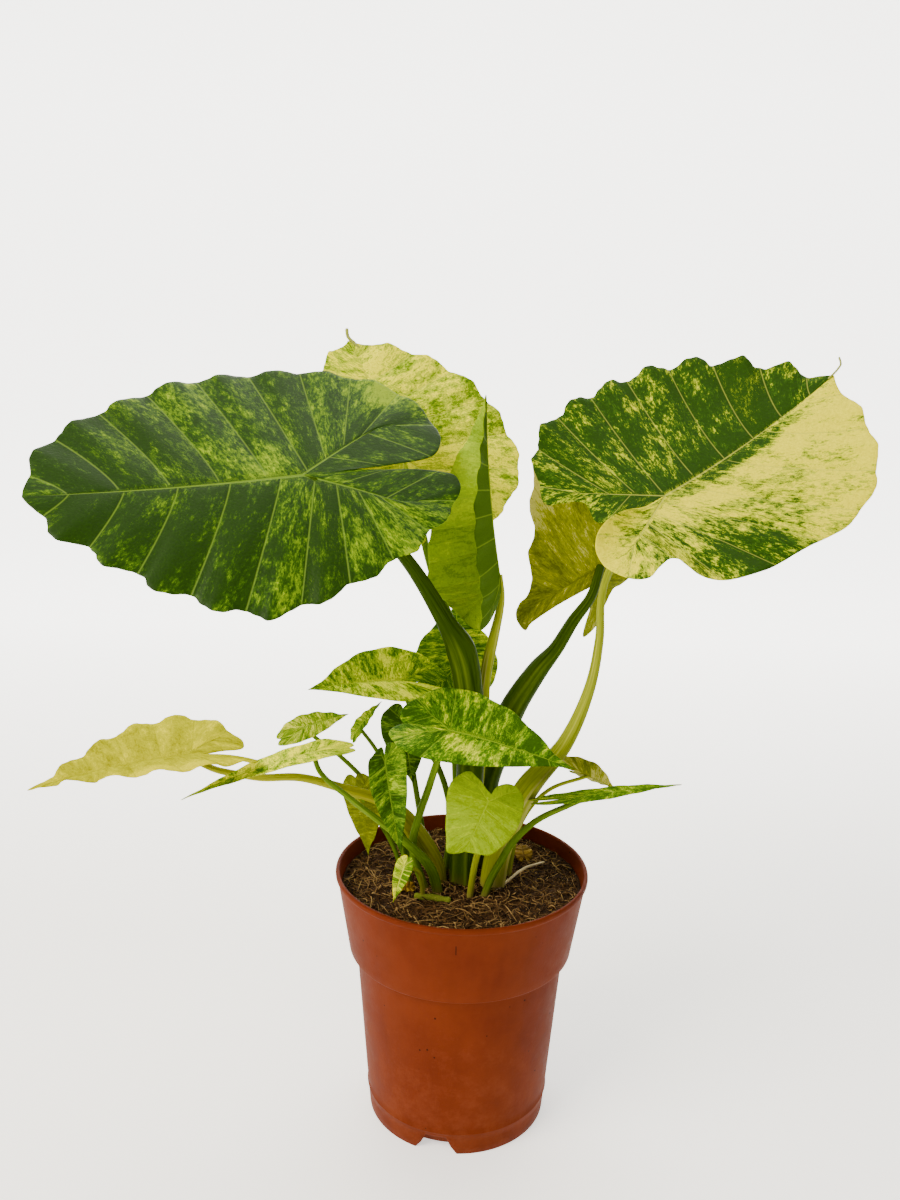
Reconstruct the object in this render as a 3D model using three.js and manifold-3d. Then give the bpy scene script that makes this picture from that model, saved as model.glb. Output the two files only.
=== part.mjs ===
// Potted variegated Alocasia odora: nineteen leaves on stalks that stand in the
// soil of a terracotta-coloured plastic nursery pot. Millimetres and degrees, +Z up.
// The origin is on the pot's axis, at the level that the pot stands on. The viewer
// of the plant's best side stands on the -Y side, with +X to the right.
import * as THREE from "three";
import { mergeVertices } from "three/addons/utils/BufferGeometryUtils.js";
import Module from "manifold-3d";

const wasm = await Module();
wasm.setup();

// Driving dimensions
const GAP = 0.35;               // clearance that one piece keeps where it meets another
const BIG_LEAVES = 5;           // the first leaves in the list are the large ones
const BIG_BLADE = 1.2;          // thickness of the large blades
const SMALL_BLADE = 1.0;        // thickness of the small blades
const POT = {
  height: 218, rimRadius: 105, rimWall: 3.4, lipHeight: 5,
  bandBottom: 149, bandRadius: 93.5, bandStep: 6.5,
  footHeight: 19, footRadius: 75.4, footTop: 77.4, ledge: 0.8,
  wall: 2, floor: 11, floorWall: 2.2, segments: 48,
};
const NOTCH = { count: 3, first: -102, topWidth: 17, midWidth: 25, bottomWidth: 34, height: 14.5, depth: 16 };
const SOIL = { level: 205.5, crown: 3.5, crownRadius: 45, relief: 0.9, rings: [22, 46, 70, 90] };
const STALK_FOOT = 195;         // the stalks stand in the soil down to this height

// Colours, as sRGB
const COLOUR = {
  terracotta: 0x8f3f22, soil: 0x3b2618, stalk: 0x6f8a2a, darkStalk: 0x35621a, paleStalk: 0x8fa23c,
  darkLeaf: 0x3f6d2a, mixedLeaf: 0x8aa83f, creamLeaf: 0xd6d66a, limeLeaf: 0x9cc514,
  yellowLeaf: 0xe6cf1f, oliveLeaf: 0x9a9a3a, root: 0xb3a583, dry: 0x9a6a1e,
};

// Blade outlines of one half, from the tip round to the notch between the lobes:
// [along the midrib as a share of the blade's length (of the lobe's length behind the
// stalk), across as a share of the half width]
const OUTLINE = {
  mature: [[1, 0], [0.965, 0.07], [0.92, 0.3], [0.8, 0.6], [0.6, 0.85], [0.36, 0.98], [0.1, 1],
    [-0.25, 0.95], [-0.6, 0.78], [-0.88, 0.52], [-1, 0.26], [-0.93, 0.09], [-0.62, 0.03], [-0.3, 0]],
  nearOval: [[1, 0], [0.975, 0.07], [0.9, 0.28], [0.78, 0.46], [0.62, 0.68], [0.42, 0.88], [0.22, 1],
    [0, 0.93], [-0.28, 0.82], [-0.62, 0.63], [-0.92, 0.32], [-1, 0.12], [-0.88, 0.03], [-0.3, 0]],
  farOval: [[1, 0], [0.985, 0.12], [0.94, 0.4], [0.8, 0.63], [0.62, 0.82], [0.42, 0.97], [0.18, 1.03],
    [-0.15, 1], [-0.5, 0.91], [-0.78, 0.75], [-0.95, 0.48], [-0.96, 0.25], [-0.8, 0.08], [-0.3, 0]],
  upperShield: [[1, 0], [0.96, 0.1], [0.9, 0.34], [0.8, 0.6], [0.66, 0.84], [0.42, 1.03], [0.15, 1.09],
    [-0.2, 1.04], [-0.5, 0.87], [-0.71, 0.57], [-0.74, 0.46], [-0.64, 0.4], [-0.52, 0.3], [-0.58, 0.11],
    [-0.41, 0.04], [-0.22, 0]],
  lowerShield: [[1, 0], [0.96, 0.1], [0.92, 0.34], [0.8, 0.66], [0.64, 0.88], [0.42, 0.98], [0.15, 0.92],
    [-0.1, 0.86], [-0.32, 0.74], [-0.46, 0.54], [-0.68, 0.46], [-0.84, 0.25], [-0.82, 0.13], [-0.72, 0.03],
    [-0.22, 0]],
  flared: [[1, 0], [0.97, 0.12], [0.9, 0.4], [0.77, 0.72], [0.6, 0.85], [0.43, 0.8], [0.24, 0.75], [0.05, 0.64],
    [-0.2, 0.62], [-0.55, 0.52], [-0.74, 0.58], [-0.88, 0.58], [-1, 0.46], [-0.88, 0.42], [-0.6, 0.26], [-0.26, 0]],
  tucked: [[1, 0], [0.96, 0.12], [0.9, 0.4], [0.76, 0.76], [0.55, 0.94], [0.32, 0.97], [0.14, 0.88], [0, 0.66],
    [-0.13, 0.5], [-0.3, 0.4], [-0.6, 0.38], [-0.85, 0.28], [-1, 0.12], [-0.85, 0.04], [-0.5, 0.02], [-0.26, 0]],
  hanging: [[1, 0], [0.93, 0.06], [0.8, 0.22], [0.58, 0.56], [0.34, 0.84], [0.1, 0.98],
    [-0.2, 1], [-0.5, 0.9], [-0.8, 0.72], [-1, 0.54], [-0.88, 0.38], [-0.55, 0.14], [-0.25, 0]],
  drawn: [[1, 0], [0.93, 0.06], [0.8, 0.22], [0.58, 0.56], [0.34, 0.84], [0.1, 0.98],
    [-0.2, 1], [-0.58, 0.82], [-0.9, 0.5], [-1, 0.26], [-0.9, 0.12], [-0.58, 0.04], [-0.25, 0]],
  young: [[1, 0], [0.93, 0.06], [0.8, 0.22], [0.58, 0.56], [0.34, 0.84], [0.1, 0.98],
    [-0.2, 1], [-0.58, 0.86], [-0.9, 0.58], [-1, 0.34], [-0.9, 0.17], [-0.58, 0.07], [-0.25, 0]],
  blunt: [[1, 0], [1.01, 0.3], [0.97, 0.6], [0.78, 0.82], [0.5, 0.96], [0.2, 1],
    [-0.1, 0.98], [-0.45, 0.88], [-0.85, 0.62], [-0.98, 0.36], [-0.85, 0.16], [-0.5, 0.06], [-0.22, 0]],
};

// Leaves. junction is where the stalk meets the blade and tip is the blade's end; faces is
// the way that the upper side looks; half and lobe are the half widths and the lengths of
// the lobes, left and right of the midrib as seen from above with the tip ahead; arch bends
// the midrib down from the junction to the tip, lobeArch the lobes; fold raises each half
// from the midrib, and roll bends it further up by the margin. ruffle is the margin's wave,
// bays its scallops on each side; columns counts the mesh columns from the tip to the widest
// place, to the lobe's end and back to the notch. stalk lists the points that its stalk passes before the
// junction, with the radius at each point and at the junction.
const LEAVES = [
  { name: "left_leaf", junction: [-123, -50, 548], tip: [-304, -112, 536], faces: [0.21, -0.62, 0.76],
    half: [109, 109], lobe: [118, 118], arch: -7, lobeArch: 12, fold: [-3, -1], roll: [-12, 0],
    outline: ["nearOval", "farOval"], columns: [20, 12, 4], ruffle: 3, bays: 10, colour: "darkLeaf", stalkColour: "darkStalk",
    stalk: [[1, -6, STALK_FOOT], [1, -6, 240], [5, -5, 305], [2, -6, 374], [-5, -9, 408], [-17, -13, 431],
      [-49, -29, 485], [-88, -44, 526]], radius: [11, 11, 11, 11.3, 12, 7.5, 5, 4, 4] },
  { name: "right_leaf", junction: [150, 5, 532], tip: [295, 80, 625], faces: [-0.08, -0.55, 0.83],
    half: [113, 113], lobe: [100, 100], arch: -17, lobeArch: 10, fold: [1, 0], roll: [12, -4],
    outline: ["upperShield", "lowerShield"], columns: [18, 9, 6], ruffle: 3, bays: 9,
    colour: "creamLeaf", stalkColour: "paleStalk",
    stalk: [[24, -10, STALK_FOOT], [31, -14, 244], [50, -14, 293], [80, -12, 333], [98, -7, 378], [105, 3, 415],
      [107, 13, 454], [123, 18, 495]], radius: [10.5, 10.5, 10, 6.5, 4.4, 3.6, 2.9, 3, 3.5] },
  { name: "back_leaf", junction: [-55, 48, 551], tip: [-109, 118, 645], faces: [0.36, -0.67, 0.64],
    half: [56, 114], lobe: [74, 74], arch: 7, lobeArch: 12, fold: [0, 0], roll: [-10, -7],
    outline: ["mature", "mature"], columns: [16, 9, 4], ruffle: 3, bays: 8, colour: "creamLeaf", stalkColour: "stalk",
    stalk: [[-12, 19, STALK_FOOT], [0, 27, 292], [-5, 29, 353], [-10, 31, 405], [-22, 34, 438], [-33, 38, 470],
      [-45, 42, 515]], radius: [6.5, 6, 5.5, 5, 4, 3.2, 3, 3] },
  { name: "rear_leaf", junction: [112, 76, 461], tip: [148, 112, 573], faces: [0.05, 0.9, 0.3],
    half: [60, 100], lobe: [62, 73], arch: 20, lobeArch: -15, fold: [42, 0], roll: [0, -10],
    outline: ["tucked", "flared"], columns: [14, 8, 4], ruffle: 3, bays: 7, colour: "oliveLeaf", stalkColour: "darkStalk",
    stalk: [[19, 25, STALK_FOOT], [20, 29, 280], [31, 29, 318], [38, 31, 344], [59, 36, 379], [74, 41, 397],
      [88, 49, 419], [102.5, 55, 439]], radius: [9, 9.5, 10.5, 11, 8.8, 6, 5.2, 4.2, 3.6] },
  { name: "rolled_leaf", junction: [24, 5, 466], tip: [10, 30, 605], faces: [-0.9, -0.25, 0.1],
    half: [57, 30], lobe: [50, 50], arch: 10, lobeArch: -40, fold: [60, 40], roll: [10, 20],
    outline: ["drawn", "hanging"], columns: [10, 6, 3], ruffle: 1.5, bays: 5, colour: "limeLeaf", stalkColour: "paleStalk",
    stalk: [[4, 15, STALK_FOOT], [11, 15, 298], [13, 13, 342], [15, 12, 375], [17, 11, 393], [21, 9, 414],
      [26, 7, 446]], radius: [6.5, 6.5, 6, 4.5, 4.8, 4.2, 2.8, 2.3] },
  { name: "middle_leaf", junction: [-53, 15, 373], tip: [-125, -20, 375], faces: [-0.05, -0.45, 1],
    half: [38, 38], lobe: [42, 48], arch: 14, fold: [14, 14], roll: [-5, -5], colour: "mixedLeaf",
    stalk: [[-14, 5, STALK_FOOT], [-9, 11, 245], [-14, 10, 279], [-22, 10, 302], [-33, 11, 322], [-44, 13, 347]],
    radius: [2.6, 2.6, 2.6, 2.5, 2.4, 2.3, 2.2] },
  { name: "inner_leaf", junction: [-8, 64, 375], tip: [-11, 99, 420], faces: [0, -0.85, 0.5],
    half: [38, 34], lobe: [31, 31], arch: 18, fold: [5, 5], roll: [-5, -5], colour: "mixedLeaf",
    stalk: [[0, 31, STALK_FOOT], [-8, 50, 283], [-9, 58, 317]], radius: [2.6, 2.6, 2.6, 2.4] },
  { name: "front_leaf", junction: [-12, -66, 361], tip: [79, -91, 343], faces: [0, -0.45, 1],
    half: [40, 40], lobe: [44, 44], arch: 10, fold: [13, 13], roll: [-6, -6], colour: "mixedLeaf",
    stalk: [[-26, -19, STALK_FOOT], [-40, -26, 246], [-35, -34, 277], [-28, -43, 303], [-21, -55, 331]],
    radius: [3.4, 3.3, 3.1, 3, 2.7, 2.4] },
  { name: "hanging_leaf", junction: [-61, -50, 328], tip: [-47, -62, 257], faces: [-0.3, -0.9, 0.3],
    half: [25, 25], lobe: [21, 21], arch: 12, fold: [25, 25], roll: [5, 5], colour: "darkLeaf",
    stalk: [[-40, -13, STALK_FOOT], [-49, -28, 250], [-56, -38, 286], [-61, -45, 312]],
    radius: [2.4, 2.4, 2.2, 2, 2] },
  { name: "lime_leaf", junction: [19, -62, 303], tip: [3, -68, 266], faces: [0.05, -1, 0.25],
    half: [30, 28], lobe: [27, 27], arch: 10, fold: [0, 0], roll: [-8, -8], outline: ["blunt", "blunt"],
    colour: "limeLeaf", stalk: [[6, -28, STALK_FOOT], [11, -42, 244], [19, -53, 280]],
    radius: [2.6, 2.6, 2.4, 2.2] },
  { name: "yellow_leaf", junction: [-213, -55, 331], tip: [-316, -108, 321], faces: [0, -0.02, 1],
    half: [56, 56], lobe: [49, 49], arch: 14, fold: [12, 12], roll: [0, 0], columns: [12, 6, 3],
    ruffle: 2.5, bays: 6, colour: "yellowLeaf", stalkColour: "paleStalk",
    stalk: [[-18, -8, STALK_FOOT], [-22, -9, 222], [-35, -12, 247], [-49, -17, 269], [-63, -25, 284],
      [-94, -36, 299], [-130, -30, 305], [-162, -25, 302], [-179, -25, 304], [-195, -34, 311], [-205, -47, 322]],
    radius: [7, 7.5, 8.5, 7, 5, 3.8, 3.2, 3, 2.8, 2.6, 2.5, 2.3] },
  { name: "narrow_leaf", junction: [-118, -42, 331], tip: [-217, -62, 297], faces: [0.05, -0.02, 1],
    half: [28, 20], lobe: [33, 33], arch: 14, fold: [8, 0], roll: [5, 5], colour: "creamLeaf",
    stalk: [[-17, -24, STALK_FOOT], [-25, -33, 231], [-45, -42, 258], [-65, -45, 276], [-87, -48, 295],
      [-112, -45, 316]], radius: [4.3, 4.2, 3.3, 2.8, 2.3, 2, 2] },
  { name: "little_leaf", junction: [-131, 0, 336], tip: [-96, 8, 346], faces: [0, -0.35, 1],
    half: [18, 18], lobe: [25, 25], arch: 8, fold: [5, 5], roll: [-5, -5], colour: "mixedLeaf",
    stalk: [[-38, 6, STALK_FOOT], [-54, 0, 246], [-77, -4, 288], [-101, -3, 313], [-123, -1, 329]],
    radius: [2.2, 2.2, 2, 1.8, 1.6, 1.6] },
  { name: "tiny_leaf", junction: [-85, -10, 341], tip: [-68, -5, 362], faces: [-0.5, 0.2, 0.8],
    half: [10, 10], lobe: [13, 13], arch: 10, fold: [8, 8], roll: [0, 0], colour: "mixedLeaf",
    stalk: [[-36, 16, STALK_FOOT], [-52, 8, 252], [-70, 0, 314]], radius: [2, 2, 1.7, 1.5] },
  { name: "olive_leaf", junction: [-84, -12, 283], tip: [-76, -26, 238], faces: [0.35, 0.8, 0.3],
    half: [20, 20], lobe: [19, 19], arch: 10, fold: [8, 8], roll: [0, 0], colour: "oliveLeaf",
    stalk: [[-46, -4, STALK_FOOT], [-56, -12, 238], [-71, -14, 266]], radius: [2, 2, 1.8, 1.6] },
  { name: "soil_leaf", junction: [-45, -55, 243], tip: [-53, -62, 216], faces: [-0.3, -0.8, 0.4],
    half: [12, 12], lobe: [12, 12], arch: 10, fold: [20, 20], roll: [0, 0], colour: "creamLeaf",
    stalk: [[-30, -34, STALK_FOOT], [-34, -42, 232]], radius: [1.8, 1.8, 1.5] },
  { name: "low_leaf", junction: [102, -30, 297], tip: [173, -25, 306], faces: [0.05, 0.42, 0.9],
    half: [32, 32], lobe: [50, 50], arch: 4, lobeArch: -4, fold: [3, 3], roll: [-4, -4], colour: "mixedLeaf",
    stalk: [[16, -28, STALK_FOOT], [23, -32, 221], [31, -35, 240], [40, -37, 258], [58, -37, 277],
      [83, -35, 290]], radius: [3.2, 3.2, 3, 2.8, 2.5, 2.2, 2] },
  { name: "pale_leaf", junction: [104, 25, 291], tip: [127, 18, 283], faces: [0.3, 0.5, 0.5],
    half: [16, 20], lobe: [16, 36], arch: 8, fold: [15, 15], roll: [0, 0], colour: "oliveLeaf",
    stalk: [[38, 4, STALK_FOOT], [49, 14, 252], [71, 20, 279]], radius: [2, 2, 1.7, 1.5] },
  { name: "drooping_leaf", junction: [-47, -22, 349], tip: [-40, -32, 303], faces: [-0.3, -0.75, 0.5],
    half: [20, 20], lobe: [17, 17], arch: 25, fold: [15, 15], roll: [0, 0], colour: "darkLeaf",
    stalk: [[-27, 12, STALK_FOOT], [-36, 4, 262], [-43, -6, 310], [-47, -15, 336]],
    radius: [2.4, 2.4, 2.4, 2.2, 2] },
];
const LEAF_DEFAULT = {
  lobeArch: 15, outline: ["young", "young"], ruffle: 1, bays: 5, stalkColour: "stalk", columns: [6, 4, 2],
};

// Litter on the soil: a pale root, the cut end of a stalk and two scraps of dried leaf
const ROOT = { points: [[24, -27, 206], [38, -10, 210], [54, 14, 210.5], [72, 34, 206.5]], radius: 1.1 };
const STUB = { points: [[-38, -36, 208], [-24, -38, 208.5], [-8, -41, 207.5]], radius: 2.6 };
const SCRAPS = [
  { name: "dry_leaf_left", junction: [-42, -26, 210], tip: [-54, -29, 211], faces: [0, -0.5, 1],
    half: [5, 5], lobe: [5, 5], arch: 20, fold: [10, 10], roll: [20, 20] },
  { name: "dry_leaf_right", junction: [54, 40, 209.8], tip: [52, 56, 212.8], faces: [0, -0.5, 1],
    half: [9, 8], lobe: [7, 7], arch: 20, fold: [10, 10], roll: [20, 20] },
];

const rad = THREE.MathUtils.degToRad;
const vec = (p) => new THREE.Vector3(...p);

// A closed geometry from loose triangles, corners merged, slivers dropped, faces outward
function closed(corners) {
  const loose = new THREE.BufferGeometry();
  loose.setAttribute("position", new THREE.BufferAttribute(new Float32Array(corners), 3));
  return tidy(loose);
}

function tidy(geometry) {
  for (const name of ["normal", "uv"]) geometry.deleteAttribute(name);
  const merged = mergeVertices(geometry, 1e-4);
  const kept = [];
  const index = merged.index.array;
  for (let i = 0; i < index.length; i += 3) {
    const [a, b, c] = [index[i], index[i + 1], index[i + 2]];
    if (a !== b && b !== c && c !== a) kept.push(a, b, c);
  }
  merged.setIndex(kept);
  return signedVolume(merged) < 0 ? flipped(merged) : merged;
}

function signedVolume(geometry) {
  const at = geometry.attributes.position;
  const [a, b, c] = [new THREE.Vector3(), new THREE.Vector3(), new THREE.Vector3()];
  let sum = 0;
  for (let i = 0; i < geometry.index.count; i += 3) {
    [a, b, c].forEach((v, k) => v.fromBufferAttribute(at, geometry.index.array[i + k]));
    sum += a.dot(b.cross(c)) / 6;
  }
  return sum;
}

function flipped(geometry) {
  const turned = [];
  const index = geometry.index.array;
  for (let i = 0; i < index.length; i += 3) turned.push(index[i], index[i + 2], index[i + 1]);
  geometry.setIndex(turned);
  return geometry;
}

// Solids for cutting, and back to a geometry
function solid(geometry) {
  return new wasm.Manifold(new wasm.Mesh({
    numProp: 3,
    vertProperties: new Float32Array(geometry.attributes.position.array),
    triVerts: new Uint32Array(geometry.index.array),
  }));
}

function largestBody(shape) {
  const bodies = shape.decompose();
  return bodies.reduce((best, body) => (body.volume() > best.volume() ? body : best));
}

function geometryOf(shape) {
  const mesh = shape.getMesh();
  const geometry = new THREE.BufferGeometry();
  geometry.setAttribute("position", new THREE.BufferAttribute(mesh.vertProperties, 3));
  geometry.setIndex(new THREE.BufferAttribute(mesh.triVerts, 1));
  return geometry;
}

// A solid carried through rings of points, with a flat end at each end
function loft(rings) {
  const corners = [];
  const face = (...points) => points.forEach((p) => corners.push(p.x, p.y, p.z));
  const sides = rings[0].length;
  for (let i = 0; i + 1 < rings.length; i += 1) {
    for (let k = 0; k < sides; k += 1) {
      const [a, b] = [rings[i][k], rings[i][(k + 1) % sides]];
      const [c, d] = [rings[i + 1][k], rings[i + 1][(k + 1) % sides]];
      face(a, b, d);
      face(a, d, c);
    }
  }
  const last = rings.length - 1;
  for (let k = 1; k + 1 < sides; k += 1) {
    face(rings[0][0], rings[0][k + 1], rings[0][k]);
    face(rings[last][0], rings[last][k], rings[last][k + 1]);
  }
  return closed(corners);
}

// A stalk: a round bar of changing radius along a smooth curve. Its last ring lies in the
// plane with the normal topNormal, so that it sits flat under the blade that it carries. A
// grown copy is thicker and longer at its first end, for cutting its clearance.
function stalkGeometry(points, radii, steps, sides, grow = 0, topNormal = null) {
  const curve = new THREE.CatmullRomCurve3(points.map((p) => p.clone()), false, "centripetal");
  const rings = [];
  let side = new THREE.Vector3(1, 0, 0);
  for (let i = 0; i <= steps; i += 1) {
    const t = i / steps;
    const at = curve.getPoint(t);
    const along = curve.getTangent(t);
    side = side.sub(along.clone().multiplyScalar(side.dot(along))).normalize();
    const cross = along.clone().cross(side);
    if (i === 0) at.addScaledVector(along, -grow);
    if (i === steps && !topNormal) at.addScaledVector(along, grow);
    const place = t * (radii.length - 1);
    const k = Math.min(Math.floor(place), radii.length - 2);
    const radius = THREE.MathUtils.lerp(radii[k], radii[k + 1], place - k) + grow;
    const ring = [];
    for (let j = 0; j < sides; j += 1) {
      const angle = (2 * Math.PI * (j + 0.5)) / sides;
      const arm = side.clone().multiplyScalar(radius * Math.cos(angle))
        .addScaledVector(cross, radius * Math.sin(angle));
      if (i === steps && topNormal) arm.addScaledVector(topNormal, -arm.dot(topNormal));
      ring.push(at.clone().add(arm));
    }
    rings.push(ring);
  }
  return loft(rings);
}

// Where a point of the flat blade, a along the midrib and b across to the left, lies on the
// bent one: the midrib is an arc, and each half is an arc that starts at its fold angle
class BladeSurface {
  constructor(leaf) {
    this.leaf = leaf;
    this.junction = vec(leaf.junction);
    const chord = vec(leaf.tip).sub(this.junction);
    const turn = rad(leaf.arch);
    this.length = Math.abs(turn) < 1e-6 ? chord.length()
      : (chord.length() * (turn / 2)) / Math.sin(turn / 2);
    const ahead = chord.normalize();
    const faces = vec(leaf.faces);
    const up = faces.addScaledVector(ahead, -faces.dot(ahead)).normalize();
    this.along = ahead.clone().multiplyScalar(Math.cos(turn / 2)).addScaledVector(up, Math.sin(turn / 2));
    this.normal = up.clone().multiplyScalar(Math.cos(turn / 2)).addScaledVector(ahead, -Math.sin(turn / 2));
    this.left = this.normal.clone().cross(this.along);
  }

  at(a, b, lift) {
    const { leaf } = this;
    const half = b < 0 ? 1 : 0;
    const ahead = a < 0 ? -1 : 1;
    const bow = (a < 0 ? rad(leaf.lobeArch) / Math.max(...leaf.lobe) : rad(leaf.arch) / this.length) || 1e-7;
    const turned = bow * Math.abs(a);
    const up = this.normal.clone().multiplyScalar(Math.cos(turned))
      .addScaledVector(this.along, ahead * Math.sin(turned));
    const bend = rad(leaf.roll[half]) / leaf.half[half] || 1e-7;
    const start = rad(leaf.fold[half]);
    const angle = start + bend * Math.abs(b);
    const across = (Math.sin(angle) - Math.sin(start)) / bend;
    const rise = (Math.cos(start) - Math.cos(angle)) / bend;
    const hand = b < 0 ? -1 : 1;
    const tilt = Math.abs(b) < 1e-9 ? 0 : angle;
    const out = up.clone().multiplyScalar(Math.cos(tilt)).addScaledVector(this.left, -hand * Math.sin(tilt));
    return this.junction.clone()
      .addScaledVector(this.along, (ahead * Math.sin(turned)) / bow)
      .addScaledVector(this.normal, -(1 - Math.cos(turned)) / bow)
      .addScaledVector(this.left, hand * across)
      .addScaledVector(up, rise)
      .addScaledVector(out, lift);
  }
}

// The flat margin of one half as equal steps: [a, b, share of the way from tip to lobe end]
function marginPoints(surface, half, counts) {
  const { leaf } = surface;
  const outline = OUTLINE[leaf.outline[half]];
  const notch = Math.min(...leaf.lobe);
  const spline = new THREE.SplineCurve(outline.map(([a, b]) => new THREE.Vector2(
    a * (a > 0 ? surface.length : b === 0 ? notch : leaf.lobe[half]), b * leaf.half[half])));
  const last = outline.length - 1;
  const widest = outline.findIndex(([a, b], i) => b >= Math.max(...outline.slice(i).map((p) => p[1])));
  const lobeEnd = outline.findIndex(([a], i) => i > 0 && a === Math.min(...outline.map((p) => p[0])));
  const fine = 40;
  const reach = [];
  let sum = 0;
  let before = spline.getPoint(0);
  for (let i = 0; i <= last * fine; i += 1) {
    const point = spline.getPoint(i / (last * fine));
    sum += point.distanceTo(before);
    reach.push({ point, sum, at: i / fine });
    before = point;
  }
  const sumAt = (at) => reach[Math.round(at * fine)].sum;
  const stations = [0, widest, lobeEnd, last];
  const points = [];
  counts.forEach((count, section) => {
    const [from, to] = [sumAt(stations[section]), sumAt(stations[section + 1])];
    for (let i = section === 0 ? 0 : 1; i <= count; i += 1) {
      const goal = from + ((to - from) * i) / count;
      const found = reach.find((r) => r.sum >= goal - 1e-9) ?? reach[reach.length - 1];
      points.push({ a: found.point.x, b: found.point.y, share: goal / sumAt(lobeEnd) });
    }
  });
  return points;
}

// The end of the lobe's rib: halfway between the lobe's outer and inner margin
function lobeRib(leaf, half) {
  const reach = 0.62;
  const crossings = [];
  const outline = OUTLINE[leaf.outline[half]];
  for (let i = 0; i + 1 < outline.length; i += 1) {
    const [[a0, b0], [a1, b1]] = [outline[i], outline[i + 1]];
    if ((a0 + reach) * (a1 + reach) <= 0 && a0 !== a1) crossings.push(b0 + ((b1 - b0) * (a0 + reach)) / (a0 - a1));
  }
  const middle = (crossings[0] + crossings[crossings.length - 1]) / 2;
  return { a: -reach * leaf.lobe[half], b: middle * leaf.half[half] };
}

// A blade: a thin closed shell whose columns run from the midrib, or from the rib of the
// lobe, out to the margin as the side veins do, split alike on both faces
function bladeGeometry(leaf, thickness, { counts, rows, grow = 0 }) {
  const surface = new BladeSurface(leaf);
  const [front, outer, inner] = counts;
  const corners = [];
  const face = (...points) => points.forEach((p) => corners.push(p.x, p.y, p.z));
  for (const half of [0, 1]) {
    const hand = half === 0 ? 1 : -1;
    const margin = marginPoints(surface, half, counts);
    const rib = lobeRib(leaf, half);
    const spine = (j) => {
      if (j <= front) return { a: 0.94 * surface.length * (1 - j / front), b: 0 };
      const step = j <= front + outer ? Math.round(((j - front) / outer) * inner) : front + outer + inner - j;
      return { a: (rib.a * step) / inner, b: (rib.b * step) / inner };
    };
    const grid = margin.map((edge, j) => {
      const wave = Math.cos(2 * Math.PI * leaf.bays * edge.share)
        * THREE.MathUtils.clamp(10 * edge.share, 0, 1) * THREE.MathUtils.clamp(8 * (1 - edge.share), 0, 1);
      const scallop = 1 + 0.01 * leaf.ruffle * wave + grow / Math.max(...leaf.half);
      const root = spine(j);
      return rows.map((u) => {
        const a = root.a + (edge.a * scallop - root.a) * u;
        const b = root.b + (edge.b * scallop - root.b) * u;
        const lift = leaf.ruffle * wave * u * u;
        return [1, -1].map((sign) => surface.at(a, hand * b, lift + (sign * thickness) / 2));
      });
    });
    const edge = rows.length - 1;
    const put = (p, q, r) => (half === 0 ? face(p, q, r) : face(p, r, q));
    for (let j = 0; j + 1 < grid.length; j += 1) {
      for (let i = 0; i < edge; i += 1) {
        const [a, b, c, d] = [grid[j][i], grid[j][i + 1], grid[j + 1][i + 1], grid[j + 1][i]];
        put(a[0], b[0], c[0]);
        put(a[0], c[0], d[0]);
        put(a[1], c[1], b[1]);
        put(a[1], d[1], c[1]);
      }
      const [now, next] = [grid[j][edge], grid[j + 1][edge]];
      put(next[0], now[0], now[1]);
      put(next[0], now[1], next[1]);
    }
  }
  return closed(corners);
}

// The pot: a tapered wall on a foot ring, with a wider band below the rolled rim, a raised
// floor, and drain notches through the foot
function potGeometry() {
  const p = POT;
  const bandTaper = (p.rimRadius - 1.6 - p.bandRadius) / (p.height - p.lipHeight - p.bandBottom);
  const bandAt = (z) => p.bandRadius + bandTaper * (z - p.bandBottom);
  const bodyTop = p.bandRadius - p.bandStep;
  const profile = [
    [0, p.floor - p.floorWall], [p.footRadius - p.wall - 0.6, p.floor - p.floorWall],
    [p.footRadius - p.wall - 1, 0], [p.footRadius, 0], [p.footTop - 0.4, p.footHeight],
    [p.footTop + p.ledge, p.footHeight + 0.8], [p.footTop, p.footHeight + 2.2],
    [bodyTop, p.bandBottom - 1.5], [p.bandRadius - 0.6, p.bandBottom], [p.bandRadius, p.bandBottom + 1],
    [bandAt(p.height - p.lipHeight), p.height - p.lipHeight], [p.rimRadius - 0.5, p.height - p.lipHeight + 1],
    [p.rimRadius, p.height - 2], [p.rimRadius - 1, p.height], [p.rimRadius - p.rimWall + 0.6, p.height],
    [p.rimRadius - p.rimWall, p.height - 1.2], [bandAt(p.bandBottom + 4) - p.wall, p.bandBottom + 4],
    [bodyTop - p.wall, p.bandBottom - 3], [p.footTop - p.wall, p.floor + 6], [p.footTop - p.wall - 3, p.floor],
    [0, p.floor],
  ];
  const lathe = new THREE.LatheGeometry(profile.map(([r, z]) => new THREE.Vector2(r, z)), p.segments);
  lathe.rotateX(Math.PI / 2);
  let shell = solid(tidy(lathe));
  for (let i = 0; i < NOTCH.count; i += 1) {
    const shape = new THREE.Shape([
      [-NOTCH.bottomWidth, -1], [NOTCH.bottomWidth, -1], [NOTCH.midWidth, NOTCH.height * 0.45],
      [NOTCH.topWidth + 1, NOTCH.height], [-NOTCH.topWidth - 1, NOTCH.height],
      [-NOTCH.midWidth, NOTCH.height * 0.45],
    ].map(([x, y]) => new THREE.Vector2(x / 2, y)));
    const cutter = new THREE.ExtrudeGeometry(shape, { depth: NOTCH.depth, bevelEnabled: false });
    cutter.translate(0, 0, POT.footRadius - NOTCH.depth + 6);
    cutter.rotateX(Math.PI / 2);
    cutter.rotateZ(rad(NOTCH.first + 90 + (360 / NOTCH.count) * i));
    shell = shell.subtract(solid(tidy(cutter)));
  }
  return shell;
}

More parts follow.
